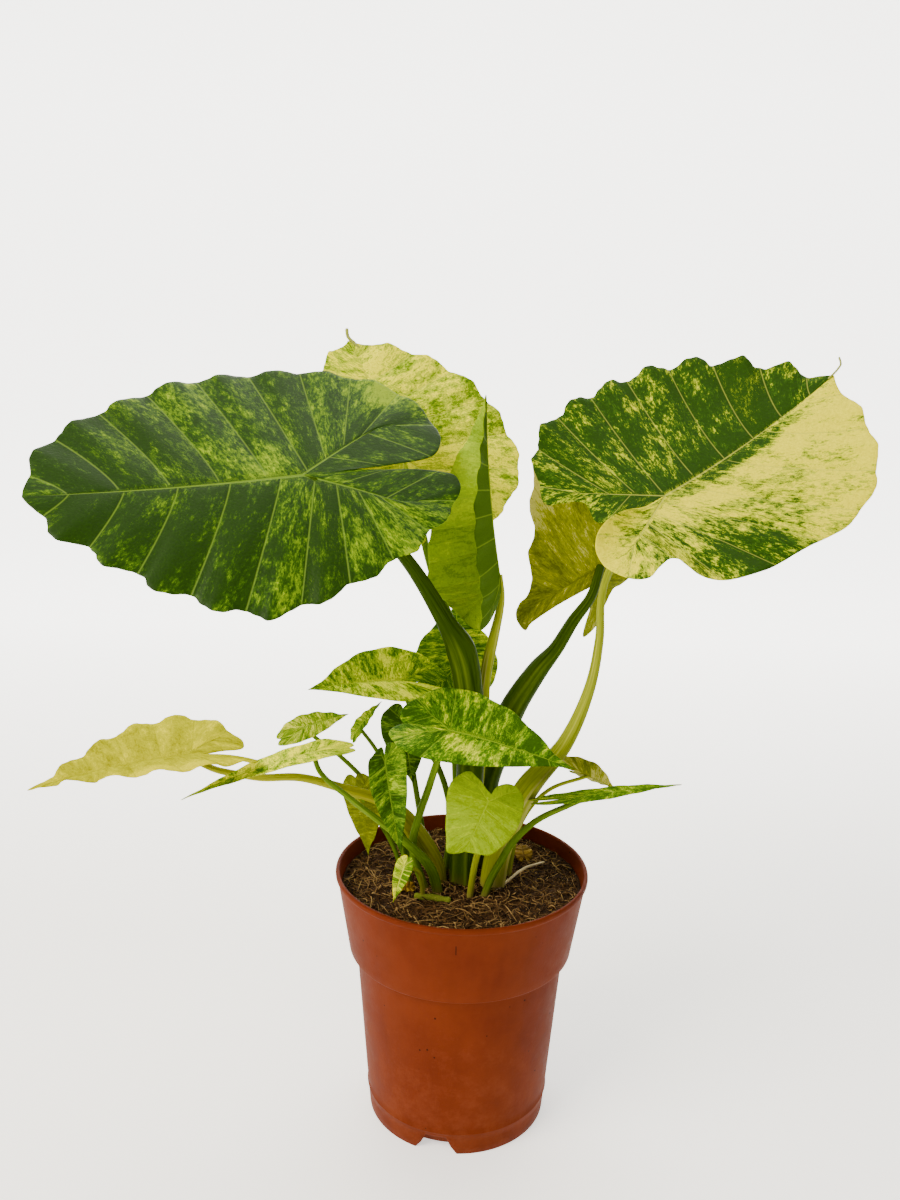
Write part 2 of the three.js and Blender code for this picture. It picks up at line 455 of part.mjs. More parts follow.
// The inside radius of the pot at height z, above the floor's bevel
function potInside(z) {
  const bodyTop = POT.bandRadius - POT.bandStep - POT.wall;
  const [low, high] = [POT.floor + 6, POT.bandBottom - 3];
  if (z <= high) return THREE.MathUtils.mapLinear(z, low, high, POT.footTop - POT.wall, bodyTop);
  const bandLow = POT.bandBottom + 4;
  const taper = (POT.rimRadius - 1.6 - POT.bandRadius) / (POT.height - POT.lipHeight - POT.bandBottom);
  const inner = POT.bandRadius + taper * 4 - POT.wall;
  if (z <= bandLow) return THREE.MathUtils.mapLinear(z, high, bandLow, bodyTop, inner);
  return THREE.MathUtils.mapLinear(z, bandLow, POT.height - 1.2, inner, POT.rimRadius - POT.rimWall);
}

// The soil's surface: a low mound round the stalks with an uneven crumb
function soilHeight(x, y) {
  const r = Math.hypot(x, y);
  const mound = SOIL.crown * Math.exp(-((r / SOIL.crownRadius) ** 2));
  const crumb = Math.sin(0.13 * x + 1) * Math.cos(0.11 * y) + 0.5 * Math.sin(0.21 * y);
  return SOIL.level + mound + SOIL.relief * crumb * (1 - (r / potInside(SOIL.level)) ** 4);
}

// The soil: a plug that fills the pot from just above the floor's bevel up to its surface
function soilGeometry() {
  const { segments } = POT;
  const corners = [];
  const face = (...points) => points.forEach((p) => corners.push(...p));
  const ring = (r, height) => Array.from({ length: segments }, (_, k) => {
    const angle = (2 * Math.PI * k) / segments;
    const [x, y] = [r * Math.sin(angle), -r * Math.cos(angle)];
    return [x, y, height(x, y)];
  });
  const low = POT.floor + 6;
  const wall = [low, POT.bandBottom - 3, POT.bandBottom + 4].map((z) => ring(potInside(z) - GAP, () => z));
  const top = [...SOIL.rings, potInside(SOIL.level) - GAP].reverse().map((r) => ring(r, soilHeight));
  const rings = [...wall, ...top];
  for (let i = 0; i + 1 < rings.length; i += 1) {
    for (let k = 0; k < segments; k += 1) {
      const n = (k + 1) % segments;
      face(rings[i][k], rings[i][n], rings[i + 1][n]);
      face(rings[i][k], rings[i + 1][n], rings[i + 1][k]);
    }
  }
  const bottom = [0, 0, low];
  const middle = [0, 0, soilHeight(0, 0)];
  for (let k = 0; k < segments; k += 1) {
    const n = (k + 1) % segments;
    face(bottom, rings[0][n], rings[0][k]);
    face(middle, rings[rings.length - 1][k], rings[rings.length - 1][n]);
  }
  return closed(corners);
}

// The leaf's stalk up to the underside of its blade
function leafStalk(leaf, thickness, grow = 0) {
  const surface = new BladeSurface(leaf);
  const topRadius = leaf.radius[leaf.radius.length - 1];
  const droop = topRadius * Math.tan(rad(Math.max(0, -leaf.fold[0], -leaf.fold[1]) + 2));
  const top = surface.junction.clone().addScaledVector(surface.normal, -(thickness / 2 + GAP + droop - grow));
  return stalkGeometry([...leaf.stalk.map(vec), top], leaf.radius, leaf.stalk.length * 2,
    leaf.radius[0] > 5 ? 8 : 6, grow, surface.normal);
}

const plant = new THREE.Group();

function addPiece(name, geometry, colour, roughness) {
  const material = new THREE.MeshStandardMaterial({ color: colour, roughness, metalness: 0, flatShading: true });
  const mesh = new THREE.Mesh(geometry, material);
  mesh.name = name;
  plant.add(mesh);
}

addPiece("pot", geometryOf(potGeometry()), COLOUR.terracotta, 0.45);

const leaves = LEAVES.map((leaf) => ({ ...LEAF_DEFAULT, ...leaf }));
let soil = solid(soilGeometry());
const stalks = [];
leaves.forEach((leaf, i) => {
  const big = i < BIG_LEAVES;
  const thickness = big ? BIG_BLADE : SMALL_BLADE;
  const counts = leaf.columns;
  const rows = big ? [0, 0.4, 0.75, 1] : [0, 0.5, 1];
  addPiece(`${leaf.name}_blade`, bladeGeometry(leaf, thickness, { counts, rows }),
    COLOUR[leaf.colour], 0.4);
  const margins = solid(bladeGeometry(leaf, thickness + 2 * GAP, { counts, rows, grow: GAP }));
  let bar = solid(leafStalk(leaf, thickness)).subtract(margins);
  for (const other of stalks) bar = bar.subtract(other);
  bar = largestBody(bar);
  const swollen = solid(leafStalk(leaf, thickness, GAP));
  stalks.push(swollen);
  soil = soil.subtract(swollen);
  addPiece(`${leaf.name}_petiole`, geometryOf(bar), COLOUR[leaf.stalkColour], 0.45);
});

for (const [name, bar] of [["root", ROOT], ["cut_stalk", STUB]]) {
  const shape = (grow) => solid(stalkGeometry(bar.points.map(vec), [bar.radius, bar.radius], 8, 6, grow));
  let piece = shape(0);
  for (const other of stalks) piece = piece.subtract(other);
  addPiece(name, geometryOf(largestBody(piece)), COLOUR.root, 0.7);
  soil = soil.subtract(shape(GAP));
}

for (const scrap of SCRAPS) {
  const leaf = { ...LEAF_DEFAULT, ...scrap };
  const shape = (thick, grow) => solid(bladeGeometry(leaf, thick, { counts: [4, 3, 2], rows: [0, 1], grow }));
  addPiece(scrap.name, geometryOf(shape(SMALL_BLADE, 0)), COLOUR.dry, 0.8);
  soil = soil.subtract(shape(SMALL_BLADE + 2 * GAP, GAP));
}

addPiece("soil", geometryOf(largestBody(soil)), COLOUR.soil, 1);

export default plant;
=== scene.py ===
"""Potted variegated Alocasia odora: the looks of the plant, its soil and its nursery pot.

Every blade, stalk and the pot is worked out again on a fine grid from the same formulas and
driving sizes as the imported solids, so that each piece keeps its place and form, and gains
veins, quilting, fibres and colour. Sizes are in millimetres until a mesh is made.
"""
import logging
import math
from dataclasses import dataclass, field
from enum import Enum

import bmesh
import bpy
import numpy as np
from mathutils import Matrix, Vector


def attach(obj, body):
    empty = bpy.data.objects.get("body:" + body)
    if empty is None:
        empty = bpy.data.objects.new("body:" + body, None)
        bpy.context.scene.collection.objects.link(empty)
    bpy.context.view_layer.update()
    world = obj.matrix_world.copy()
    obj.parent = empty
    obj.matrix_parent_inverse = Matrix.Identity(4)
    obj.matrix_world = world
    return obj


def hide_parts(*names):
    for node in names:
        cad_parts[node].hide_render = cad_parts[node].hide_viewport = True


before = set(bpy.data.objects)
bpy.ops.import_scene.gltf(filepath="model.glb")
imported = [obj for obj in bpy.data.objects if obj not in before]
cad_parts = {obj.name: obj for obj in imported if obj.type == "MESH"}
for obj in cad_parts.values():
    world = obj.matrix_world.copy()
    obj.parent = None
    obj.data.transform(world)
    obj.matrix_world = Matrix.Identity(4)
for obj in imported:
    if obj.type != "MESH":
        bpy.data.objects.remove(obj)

LOG = logging.getLogger("alocasia")
MM = 0.001
BODY = "root"

Array = np.ndarray
Tree = bpy.types.NodeTree
Node = bpy.types.Node
Socket = bpy.types.NodeSocket
Sockets = bpy.types.bpy_prop_collection
Point = tuple[float, float, float]
Pair = tuple[float, float]
Sides = float | Pair


class Side(Enum):
    """The half of a blade, as seen from above with the tip ahead."""

    LEFT = 0
    RIGHT = 1

    @property
    def hand(self) -> int:
        """The sign of the distance across from the midrib on this side."""
        return 1 if self is Side.LEFT else -1


# the front of the young leaves' outlines, from the tip to the widest place
YOUNG_FRONT = ((1, 0), (0.93, 0.06), (0.8, 0.22), (0.58, 0.56), (0.34, 0.84), (0.1, 0.98))


class Outline(Enum):
    """Outlines of one half of a blade, from the tip round to the notch between the lobes.

    Each point is how far it lies along the midrib, as a share of the blade's length (of the
    lobe's length behind the stalk), and how far across, as a share of the half width.
    """

    MATURE = ((1, 0), (0.965, 0.07), (0.92, 0.3), (0.8, 0.6), (0.6, 0.85), (0.36, 0.98), (0.1, 1),
              (-0.25, 0.95), (-0.6, 0.78), (-0.88, 0.52), (-1, 0.26), (-0.93, 0.09), (-0.62, 0.03),
              (-0.3, 0))
    NEAR_OVAL = ((1, 0), (0.975, 0.07), (0.9, 0.28), (0.78, 0.46), (0.62, 0.68), (0.42, 0.88), (0.22, 1),
                 (0, 0.93), (-0.28, 0.82), (-0.62, 0.63), (-0.92, 0.32), (-1, 0.12), (-0.88, 0.03),
                 (-0.3, 0))
    FAR_OVAL = ((1, 0), (0.985, 0.12), (0.94, 0.4), (0.8, 0.63), (0.62, 0.82), (0.42, 0.97), (0.18, 1.03),
                (-0.15, 1), (-0.5, 0.91), (-0.78, 0.75), (-0.95, 0.48), (-0.96, 0.25), (-0.8, 0.08),
                (-0.3, 0))
    UPPER_SHIELD = ((1, 0), (0.96, 0.1), (0.9, 0.34), (0.8, 0.6), (0.66, 0.84), (0.42, 1.03), (0.15, 1.09),
                    (-0.2, 1.04), (-0.5, 0.87), (-0.71, 0.57), (-0.74, 0.46), (-0.64, 0.4), (-0.52, 0.3),
                    (-0.58, 0.11), (-0.41, 0.04), (-0.22, 0))
    LOWER_SHIELD = ((1, 0), (0.96, 0.1), (0.92, 0.34), (0.8, 0.66), (0.64, 0.88), (0.42, 0.98), (0.2, 0.93),
                    (0.03, 0.92), (-0.19, 0.86), (-0.33, 0.78), (-0.4, 0.67), (-0.38, 0.55), (-0.43, 0.46),
                    (-0.56, 0.47), (-0.68, 0.49), (-0.78, 0.4), (-0.83, 0.21), (-0.79, 0.09), (-0.62, 0.02),
                    (-0.22, 0))
    FLARED = ((1, 0), (0.97, 0.12), (0.9, 0.4), (0.77, 0.72), (0.6, 0.85), (0.43, 0.8), (0.24, 0.75),
              (0.05, 0.64), (-0.2, 0.62), (-0.55, 0.52), (-0.74, 0.58), (-0.88, 0.58), (-1, 0.46),
              (-0.88, 0.42), (-0.6, 0.26), (-0.26, 0))
    TUCKED = ((1, 0), (0.96, 0.12), (0.9, 0.4), (0.76, 0.76), (0.55, 0.94), (0.32, 0.97), (0.14, 0.88),
              (0, 0.66), (-0.13, 0.5), (-0.3, 0.4), (-0.6, 0.38), (-0.85, 0.28), (-1, 0.12), (-0.85, 0.04),
              (-0.5, 0.02), (-0.26, 0))
    HANGING = (*YOUNG_FRONT, (-0.2, 1), (-0.5, 0.9), (-0.8, 0.72), (-1, 0.54), (-0.88, 0.38),
               (-0.55, 0.14), (-0.25, 0))
    DRAWN = (*YOUNG_FRONT, (-0.2, 1), (-0.58, 0.82), (-0.9, 0.5), (-1, 0.26), (-0.9, 0.12),
             (-0.58, 0.04), (-0.25, 0))
    YOUNG = (*YOUNG_FRONT, (-0.2, 1), (-0.58, 0.86), (-0.9, 0.58), (-1, 0.34), (-0.9, 0.17),
             (-0.58, 0.07), (-0.25, 0))
    CLOSED = (*YOUNG_FRONT, (-0.2, 1), (-0.58, 0.84), (-0.9, 0.5), (-0.98, 0.28), (-0.93, 0.1),
              (-0.8, 0), (-0.5, 0), (-0.25, 0))
    CORNERED = ((1.05, 0), (1.12, 0.11), (1.18, 0.22), (1.21, 0.33), (1.19, 0.44), (1.03, 0.58),
                (0.83, 0.72), (0.48, 0.95), (0.13, 1.13), (-0.2, 1.09), (-0.49, 0.91), (-0.56, 0.75),
                (-0.5, 0.58), (-0.42, 0.38), (-0.28, 0.16), (-0.22, 0))
    ROUNDED = ((1.05, 0), (1.02, 0.22), (0.97, 0.45), (0.89, 0.64), (0.72, 0.78), (0.39, 0.94), (0.15, 0.96),
               (-0.1, 0.93), (-0.52, 0.77), (-0.68, 0.54), (-0.7, 0.38), (-0.64, 0.21), (-0.45, 0.04),
               (-0.22, 0))
    FOLDED_WIDE = ((1, 0), (0.93, 0.06), (0.8, 0.22), (0.54, 0.57), (0.23, 0.85), (0, 0.95), (-0.2, 0.99),
                   (-0.45, 0.8), (-0.6, 0.53), (-0.68, 0.25), (-0.55, 0.08), (-0.25, 0))
    FOLDED_SLIM = ((1, 0), (0.93, 0.08), (0.85, 0.2), (0.62, 0.6), (0.31, 0.97), (0.11, 1), (-0.1, 0.9),
                   (-0.3, 0.62), (-0.5, 0.3), (-0.55, 0.12), (-0.42, 0.03), (-0.25, 0))


def linear(colour: str) -> tuple[float, float, float, float]:
    """Turns an sRGB hex colour into linear red, green, blue and alpha.

    Args:
        colour: six hex digits, such as "8f3f22".

    Returns:
        The four linear values.
    """
    channels = [int(colour[i:i + 2], 16) / 255 for i in (0, 2, 4)]
    straight = [c / 12.92 if c <= 0.04045 else ((c + 0.055) / 1.055) ** 2.4 for c in channels]
    return (*straight, 1.0)


def unit(vector: Array) -> Array:
    """Returns a vector, or each row of an array of them, at length one."""
    return vector / np.linalg.norm(vector, axis=-1, keepdims=True)


def smooth(x: Array, low: float, high: float) -> Array:
    """Returns a smooth step that rises from 0 at low to 1 at high."""
    t = np.clip((x - low) / (high - low), 0, 1)
    return t * t * (3 - 2 * t)


def ripple(x: Array, seed: float) -> Array:
    """Returns a smooth uneven wave of about unit size: a sum of three sines with a seeded phase.

    Args:
        x: places along the wave.
        seed: a number that shifts the three phases.

    Returns:
        The wave's height at every place.
    """
    second = 0.6 * np.sin(2.3 * x + 1.7 * seed + 1)
    third = 0.4 * np.sin(4.1 * x + 2.9 * seed)
    return (np.sin(x + seed) + second + third) / 1.6


def space_curve(points: Array, t: Array) -> Array:
    """Returns points of the smooth curve through the given ones, at shares t of their count.

    The curve is a centripetal Catmull-Rom spline: between two points it is a cubic whose
    end slopes come from the neighbours, weighted by the fourth root of squared distances.

    Args:
        points: rows of x, y, z that the curve passes.
        t: shares from 0 to 1, where each stretch between two points has an equal share.

    Returns:
        One row of x, y, z for each share.
    """
    ends = np.vstack([2 * points[0] - points[1], points, 2 * points[-1] - points[-2]])
    place = np.clip(t, 0, 1) * (len(points) - 1)
    k = np.minimum(place.astype(int), len(points) - 2)
    w = (place - k)[:, None]
    p0, p1, p2, p3 = (ends[k + i] for i in range(4))
    steps = (p1 - p0, p2 - p1, p3 - p2)
    d0, d1, d2 = (np.sqrt(np.linalg.norm(step, axis=1, keepdims=True)) for step in steps)
    slope1 = ((p1 - p0) / d0 - (p2 - p0) / (d0 + d1) + (p2 - p1) / d1) * d1
    slope2 = ((p2 - p1) / d1 - (p3 - p1) / (d1 + d2) + (p3 - p2) / d2) * d1
    square = 3 * (p2 - p1) - 2 * slope1 - slope2
    cube = 2 * (p1 - p2) + slope1 + slope2
    return p1 + slope1 * w + square * w**2 + cube * w**3


def flat_curve(points: Array, fine: int) -> Array:
    """Works out a plane Catmull-Rom curve: cubics whose end slopes are half the way past each point.

    Args:
        points: rows of two values that the curve passes.
        fine: steps between each two points.

    Returns:
        The curve's points.
    """
    place = np.arange((len(points) - 1) * fine + 1) / fine
    k = np.minimum(place.astype(int), len(points) - 2)
    w = (place - k)[:, None]
    last = len(points) - 1
    p0, p1, p2, p3 = (points[np.clip(k + i, 0, last)] for i in (-1, 0, 1, 2))
    s1, s2 = (p2 - p0) / 2, (p3 - p1) / 2
    return (2 * p1 - 2 * p2 + s1 + s2) * w**3 + (-3 * p1 + 3 * p2 - 2 * s1 - s2) * w**2 + s1 * w + p1


def grid_faces(rows: int, columns: int, start: int = 0, closed: bool = False) -> Array:
    """Returns the quads of a grid of vertices numbered row by row.

    Args:
        rows: vertices along the first direction.
        columns: vertices along the second direction.
        start: number of the first vertex.
        closed: whether the second direction joins up with its beginning.

    Returns:
        Four vertex numbers for each quad.
    """
    i, k = np.meshgrid(np.arange(rows - 1), np.arange(columns if closed else columns - 1), indexing="ij")
    following = (k + 1) % columns
    here, above = i * columns, (i + 1) * columns
    quads = np.stack([here + k, here + following, above + following, above + k], -1)
    return quads.reshape(-1, 4) + start


def make_piece(name: str, points: Array, faces: list[Array], layers: dict[str, Array],
               weld: float = 0.0) -> bpy.types.Object:
    """Makes an object at the origin from points in millimetres, with smooth shading.

    Args:
        name: the object's name.
        points: rows of x, y, z in millimetres.
        faces: arrays of quads or triangles.
        layers: named rows of three values for each point, kept as vertex attributes.
        weld: distance in millimetres within which points are merged, or 0.

    Returns:
        The new object.
    """
    mesh = bpy.data.meshes.new(name)
    loops = np.concatenate([f.ravel() for f in faces])
    sizes = np.concatenate([np.full(len(f), f.shape[1]) for f in faces])
    mesh.vertices.add(len(points))
    mesh.loops.add(len(loops))
    mesh.polygons.add(len(sizes))
    mesh.vertices.foreach_set("co", (points * MM).astype(np.float32).ravel())
    mesh.loops.foreach_set("vertex_index", loops.astype(np.int32))
    starts = np.concatenate([[0], np.cumsum(sizes)[:-1]])
    mesh.polygons.foreach_set("loop_start", starts.astype(np.int32))
    mesh.update(calc_edges=True)
    for layer, values in layers.items():
        attribute = mesh.attributes.new(layer, "FLOAT_VECTOR", "POINT")
        attribute.data.foreach_set("vector", values.astype(np.float32).ravel())
    if weld:
        work = bmesh.new()
        work.from_mesh(mesh)
        bmesh.ops.remove_doubles(work, verts=work.verts, dist=weld * MM)
        bmesh.ops.dissolve_degenerate(work, edges=work.edges, dist=weld * MM / 4)
        bmesh.ops.recalc_face_normals(work, faces=work.faces)
        work.to_mesh(mesh)
        work.free()
    mesh.shade_smooth()
    piece = bpy.data.objects.new(name, mesh)
    bpy.context.scene.collection.objects.link(piece)
    return piece


def make_tinted(name: str, points: Array, faces: list[Array], tint: Array) -> bpy.types.Object:
    """Makes a piece of the potting mix, whose attribute "tint" holds each point's shade.

    Args:
        name: the object's name.
        points: rows of x, y, z in millimetres.
        faces: arrays of quads or triangles.
        tint: the shade of each point, from 0, dark, to 1, pale.

    Returns:
        The new object.
    """
    return make_piece(name, points, faces, {"tint": np.stack([tint, tint, 0 * tint], -1)})


def repeat_faces(faces: Array, copies: int, size: int) -> Array:
    """Returns the faces of equal bits that lie one after another, each of `size` points."""
    offset = (np.arange(copies) * size)[:, None, None]
    return (faces[None] + offset).reshape(-1, faces.shape[1])


def tube_rings(centre: Array, reference: Point, reach: Array) -> Array:
    """Works out the rings of a tube: circles square to a curve, each point at its own radius.

    Args:
        centre: the curve's points.
        reference: a direction that the curve never takes; each ring starts square to it.
        reach: the radius of every point, with a row for each ring.

    Returns:
        The points as rings by sides by 3.
    """
    along = unit(np.gradient(centre, axis=0))
    side = unit(np.cross(along, reference))
    front = np.cross(side, along)
    angle = 2 * np.pi * np.arange(reach.shape[1]) / reach.shape[1]
    spoke = np.cos(angle)[:, None] * side[:, None] + np.sin(angle)[:, None] * front[:, None]
    return centre[:, None] + reach[..., None] * spoke


def tube_faces(rings: int, sides: int) -> list[Array]:
    """Works out the faces of a tube: quads between its rings, and a fan of triangles at each end.

    Args:
        rings: how many rings there are.
        sides: vertices in a ring.

    Returns:
        The quads and the two fans. The vertices after the last ring are the middles of the ends.
    """
    k = np.arange(sides)
    following = (k + 1) % sides
    count = rings * sides
    last = count - sides
    return [grid_faces(rings, sides, closed=True),
            np.stack([following, k, np.full(sides, count)], -1),
            np.stack([last + k, last + following, np.full(sides, count + 1)], -1)]


def settle(piece: bpy.types.Object, material: bpy.types.Material, slot: str, *nodes: str) -> None:
    """Dresses a piece, lets it ride on the part's body and has it stand for its nodes.

    Args:
        piece: the piece.
        material: its material.
        slot: the name of its colour slot; not used.
        nodes: the solids that it takes the place of, if any.
    """
    piece.data.materials.append(material)
    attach(piece, BODY)
    if nodes:
        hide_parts(*nodes)
    LOG.info("%s: %d faces", piece.name, len(piece.data.polygons))


def new_material(name: str) -> tuple[bpy.types.Material, Tree]:
    """Returns a new material and its emptied tree.

    Args:
        name: the material's name.

    Returns:
        The material and its node tree.
    """
    material = bpy.data.materials.new(name)
    material.use_nodes = True
    material.node_tree.nodes.clear()
    return material, material.node_tree


def add_node(tree: Tree, kind: str, inputs: dict | None = None, **settings) -> Node:
    """Adds a node to a tree.

    Args:
        tree: the node tree.
        kind: the node's type name, after "ShaderNode".
        inputs: socket name or number to a value, to the socket that it is linked from, or to a
            node whose first output it is linked from.
        settings: attributes of the node.

    Returns:
        The new node.
    """
    node = tree.nodes.new("ShaderNode" + kind)
    for name, value in settings.items():
        setattr(node, name, value)
    for socket, value in (inputs or {}).items():
        source = value.outputs[0] if isinstance(value, Node) else value
        if isinstance(source, Socket):
            tree.links.new(source, node.inputs[socket])
        else:
            node.inputs[socket].default_value = source
    return node


def set_ramp(ramp: Node, *stops: tuple[float, str]) -> None:
    """Gives a colour ramp its stops, as pairs of place and sRGB hex colour.

    Args:
        ramp: the colour ramp's node.
        stops: each stop's place, from 0 to 1, and colour.
    """
    elements = ramp.color_ramp.elements
    while len(elements) < len(stops):
        elements.new(1.0)
    for element, (place, colour) in zip(elements, stops):
        element.position = place
        element.color = linear(colour)


def sway(tree: Tree, value: Node | Socket, sources: list[tuple[Node, float]]) -> Node:
    """Moves a value up and down: each source, less its middle of a half, times a strength is added.

    Args:
        tree: the node tree.
        value: the value, before.
        sources: pairs of a node whose values lie from 0 to 1, and a strength.

    Returns:
        The node that gives the value, after.
    """
    for source, strength in sources:
        shift = add_node(tree, "Math", {0: source, 1: 0.5}, operation="SUBTRACT")
        value = add_node(tree, "Math", {0: shift, 1: strength, 2: value}, operation="MULTIPLY_ADD")
    return value


def read_layers(tree: Tree, *names: str) -> list[Sockets]:
    """Returns the three parts of each named vertex attribute."""
    layers = [add_node(tree, "Attribute", attribute_name=name).outputs["Vector"] for name in names]
    return [add_node(tree, "SeparateXYZ", {0: layer}).outputs for layer in layers]


@dataclass(frozen=True)
class LeafFinish:
    """Living aroid leaf: a waxed skin over soft tissue, marbled where cells lack green.

    The marbling runs along the side veins, in patches with sharp edges, because each patch
    grew from one cell line. Attributes on the blade carry the coordinates: "vein" holds the
    side vein count, the way from the midrib in mm and the vein spacing in mm; "zone" holds
    the paleness, whether it is the underside and the midrib's half width; "spot" holds the
    flat place in mm and a seed.

    dark to pale are the marbling's colours and streaks the strengths of its three sizes of
    patch. side_vein is a side vein's half width in mm, under_mix how far the underside has its
    own colour, and sheen the specular level.
    """

    name: str
    slot: str
    dark: str
    middle: str
    bright: str
    pale: str
    vein: str
    under: str
    roughness: float = 0.42
    vein_strength: float = 0.6
    side_vein: float = 0.33
    under_mix: float = 0.5
    sheen: float = 0.1
    marbling: float = 1.0
    streaks: Point = (0.46, 0.42, 0.48)
    # on a large leaf, patches of 9 by 30 mm, of 3 by 12 mm, and flecks of 1 by 3 mm: how many
    # lie between two side veins, how many in a mm along them, and the noise's detail
    PATCHES = ((2.3, 0.034, 2.0), (7.0, 0.085, 3.0), (24.0, 0.3, 3.0))
    SECTOR_STRENGTH = 0.26
    CELLS_PER_MM = 0.65
    SIDE_VEIN_STRENGTH = 0.72
    UNDER_ROUGHNESS = 0.65
    IOR = 1.45

    def marble(self, tree: Tree, vein: Sockets, zone: Sockets, seed: Socket) -> Node:
        """Adds the marbling, which gives the eye streaks that fan out with the side veins.

        Three sizes of noise, stretched along the side veins, and a random shade for each
        sector between two of them move the paleness up and down; it then picks the colour.

        Args:
            tree: the material's tree.
            vein: the parts of "vein".
            zone: the parts of "zone".
            seed: the blade's seed.

        Returns:
            The ramp that gives the colour.
        """
        sources = []
        for (across, along, detail), strength in zip(self.PATCHES, self.streaks):
            count = add_node(tree, "Math", {0: vein[0], 1: across}, operation="MULTIPLY")
            way = add_node(tree, "Math", {0: vein[1], 1: along}, operation="MULTIPLY")
            place = add_node(tree, "CombineXYZ", {0: count, 1: way, 2: seed})
            noise = add_node(tree, "TexNoise", {"Vector": place, "Scale": 1.0, "Detail": detail,
                                                "Roughness": 0.7, "Distortion": 0.3})
            sources.append((noise, 2 * strength * self.marbling))
        sector = add_node(tree, "Math", {0: vein[0], 1: 0.5}, operation="ADD")
        sector = add_node(tree, "Math", {0: sector}, operation="FLOOR")
        cell = add_node(tree, "CombineXYZ", {0: sector, 1: seed})
        draw = add_node(tree, "TexWhiteNoise", {"Vector": cell}, noise_dimensions="2D")
        sources.append((draw, self.SECTOR_STRENGTH * self.marbling))
        ramp = add_node(tree, "ValToRGB", {0: sway(tree, zone[0], sources)})
        set_ramp(ramp, (0.32, self.dark), (0.36, self.middle), (0.485, self.middle), (0.5, self.bright),
                 (0.65, self.bright), (0.662, self.pale))
        return ramp

    def draw_veins(self, tree: Tree, vein: Sockets, zone: Sockets) -> Node:
        """Adds the veins, which give the eye a fine pale line each, and a broad one for the midrib.

        The way to the nearest side vein is how far the count is from a half, times the
        spacing. A smooth step turns it, and the way from the midrib, into a line.

        Args:
            tree: the material's tree.
            vein: the parts of "vein".
            zone: the parts of "zone".

        Returns:
            The node that gives 1 on the midrib, less on a side vein, and 0 away from both.
        """
        part = add_node(tree, "Math", {0: vein[0]}, operation="FRACT")
        part = add_node(tree, "Math", {0: part, 1: 0.5}, operation="SUBTRACT")
        part = add_node(tree, "Math", {0: part}, operation="ABSOLUTE")
        away = add_node(tree, "Math", {0: part, 1: vein[2]}, operation="MULTIPLY")
        side = add_node(tree, "MapRange", {0: away, 1: self.side_vein * 0.6, 2: self.side_vein * 2.2,
                                           3: 1.0, 4: 0.0}, interpolation_type="SMOOTHSTEP")
        near = add_node(tree, "Math", {0: zone[2], 1: 0.7}, operation="MULTIPLY")
        far = add_node(tree, "Math", {0: zone[2], 1: 1.5}, operation="MULTIPLY")
        rib = add_node(tree, "MapRange", {0: vein[1], 1: near, 2: far, 3: 1.0, 4: 0.0},
                       interpolation_type="SMOOTHSTEP")
        fine = add_node(tree, "Math", {0: side, 1: self.SIDE_VEIN_STRENGTH}, operation="MULTIPLY")
        return add_node(tree, "Math", {0: fine, 1: rib}, operation="MAXIMUM")

    def make(self) -> bpy.types.Material:
        """Builds the material: marbling, unevenly filled cells, a duller underside, then the veins.

        Returns:
            The finished material.
        """
        material, tree = new_material(self.name)
        vein, zone, spot = read_layers(tree, "vein", "zone", "spot")
        colour = self.marble(tree, vein, zone, spot[2])
        # cells: a fine unevenness of the tissue, drawn at 1.5 mm so that it shows
        flat = add_node(tree, "CombineXYZ", dict(enumerate(spot)))
        cells = add_node(tree, "TexNoise", {"Vector": flat, "Scale": self.CELLS_PER_MM, "Detail": 4.0})
        shade = add_node(tree, "MapRange", {0: cells, 1: 0.3, 2: 0.7, 3: 0.84, 4: 1.14})
        colour = add_node(tree, "Mix", {"Factor": 1.0, 6: colour, 7: shade}, data_type="RGBA",
                          blend_type="MULTIPLY").outputs[2]
        # the underside is duller, with less of the marbling
        line = self.draw_veins(tree, vein, zone)
        for cover, strength, over in ((zone[1], self.under_mix, self.under),
                                      (line, self.vein_strength, self.vein)):
            share = add_node(tree, "Math", {0: cover, 1: strength}, operation="MULTIPLY")
            colour = add_node(tree, "Mix", {"Factor": share, 6: colour, 7: linear(over)},
                              data_type="RGBA").outputs[2]
        rough = add_node(tree, "MapRange", {0: zone[1], 1: 0.0, 2: 1.0, 3: self.roughness,
                                            4: self.UNDER_ROUGHNESS})
        height = add_node(tree, "Math", {0: line, 1: -0.7, 2: cells}, operation="MULTIPLY_ADD")
        bump = add_node(tree, "Bump", {"Height": height, "Distance": 0.0007, "Strength": 0.5})
        shader = add_node(tree, "BsdfPrincipled", {"Base Color": colour, "Roughness": rough, "Normal": bump,
                                                   "IOR": self.IOR, "Specular IOR Level": self.sheen})
        add_node(tree, "OutputMaterial", {"Surface": shader})
        return material


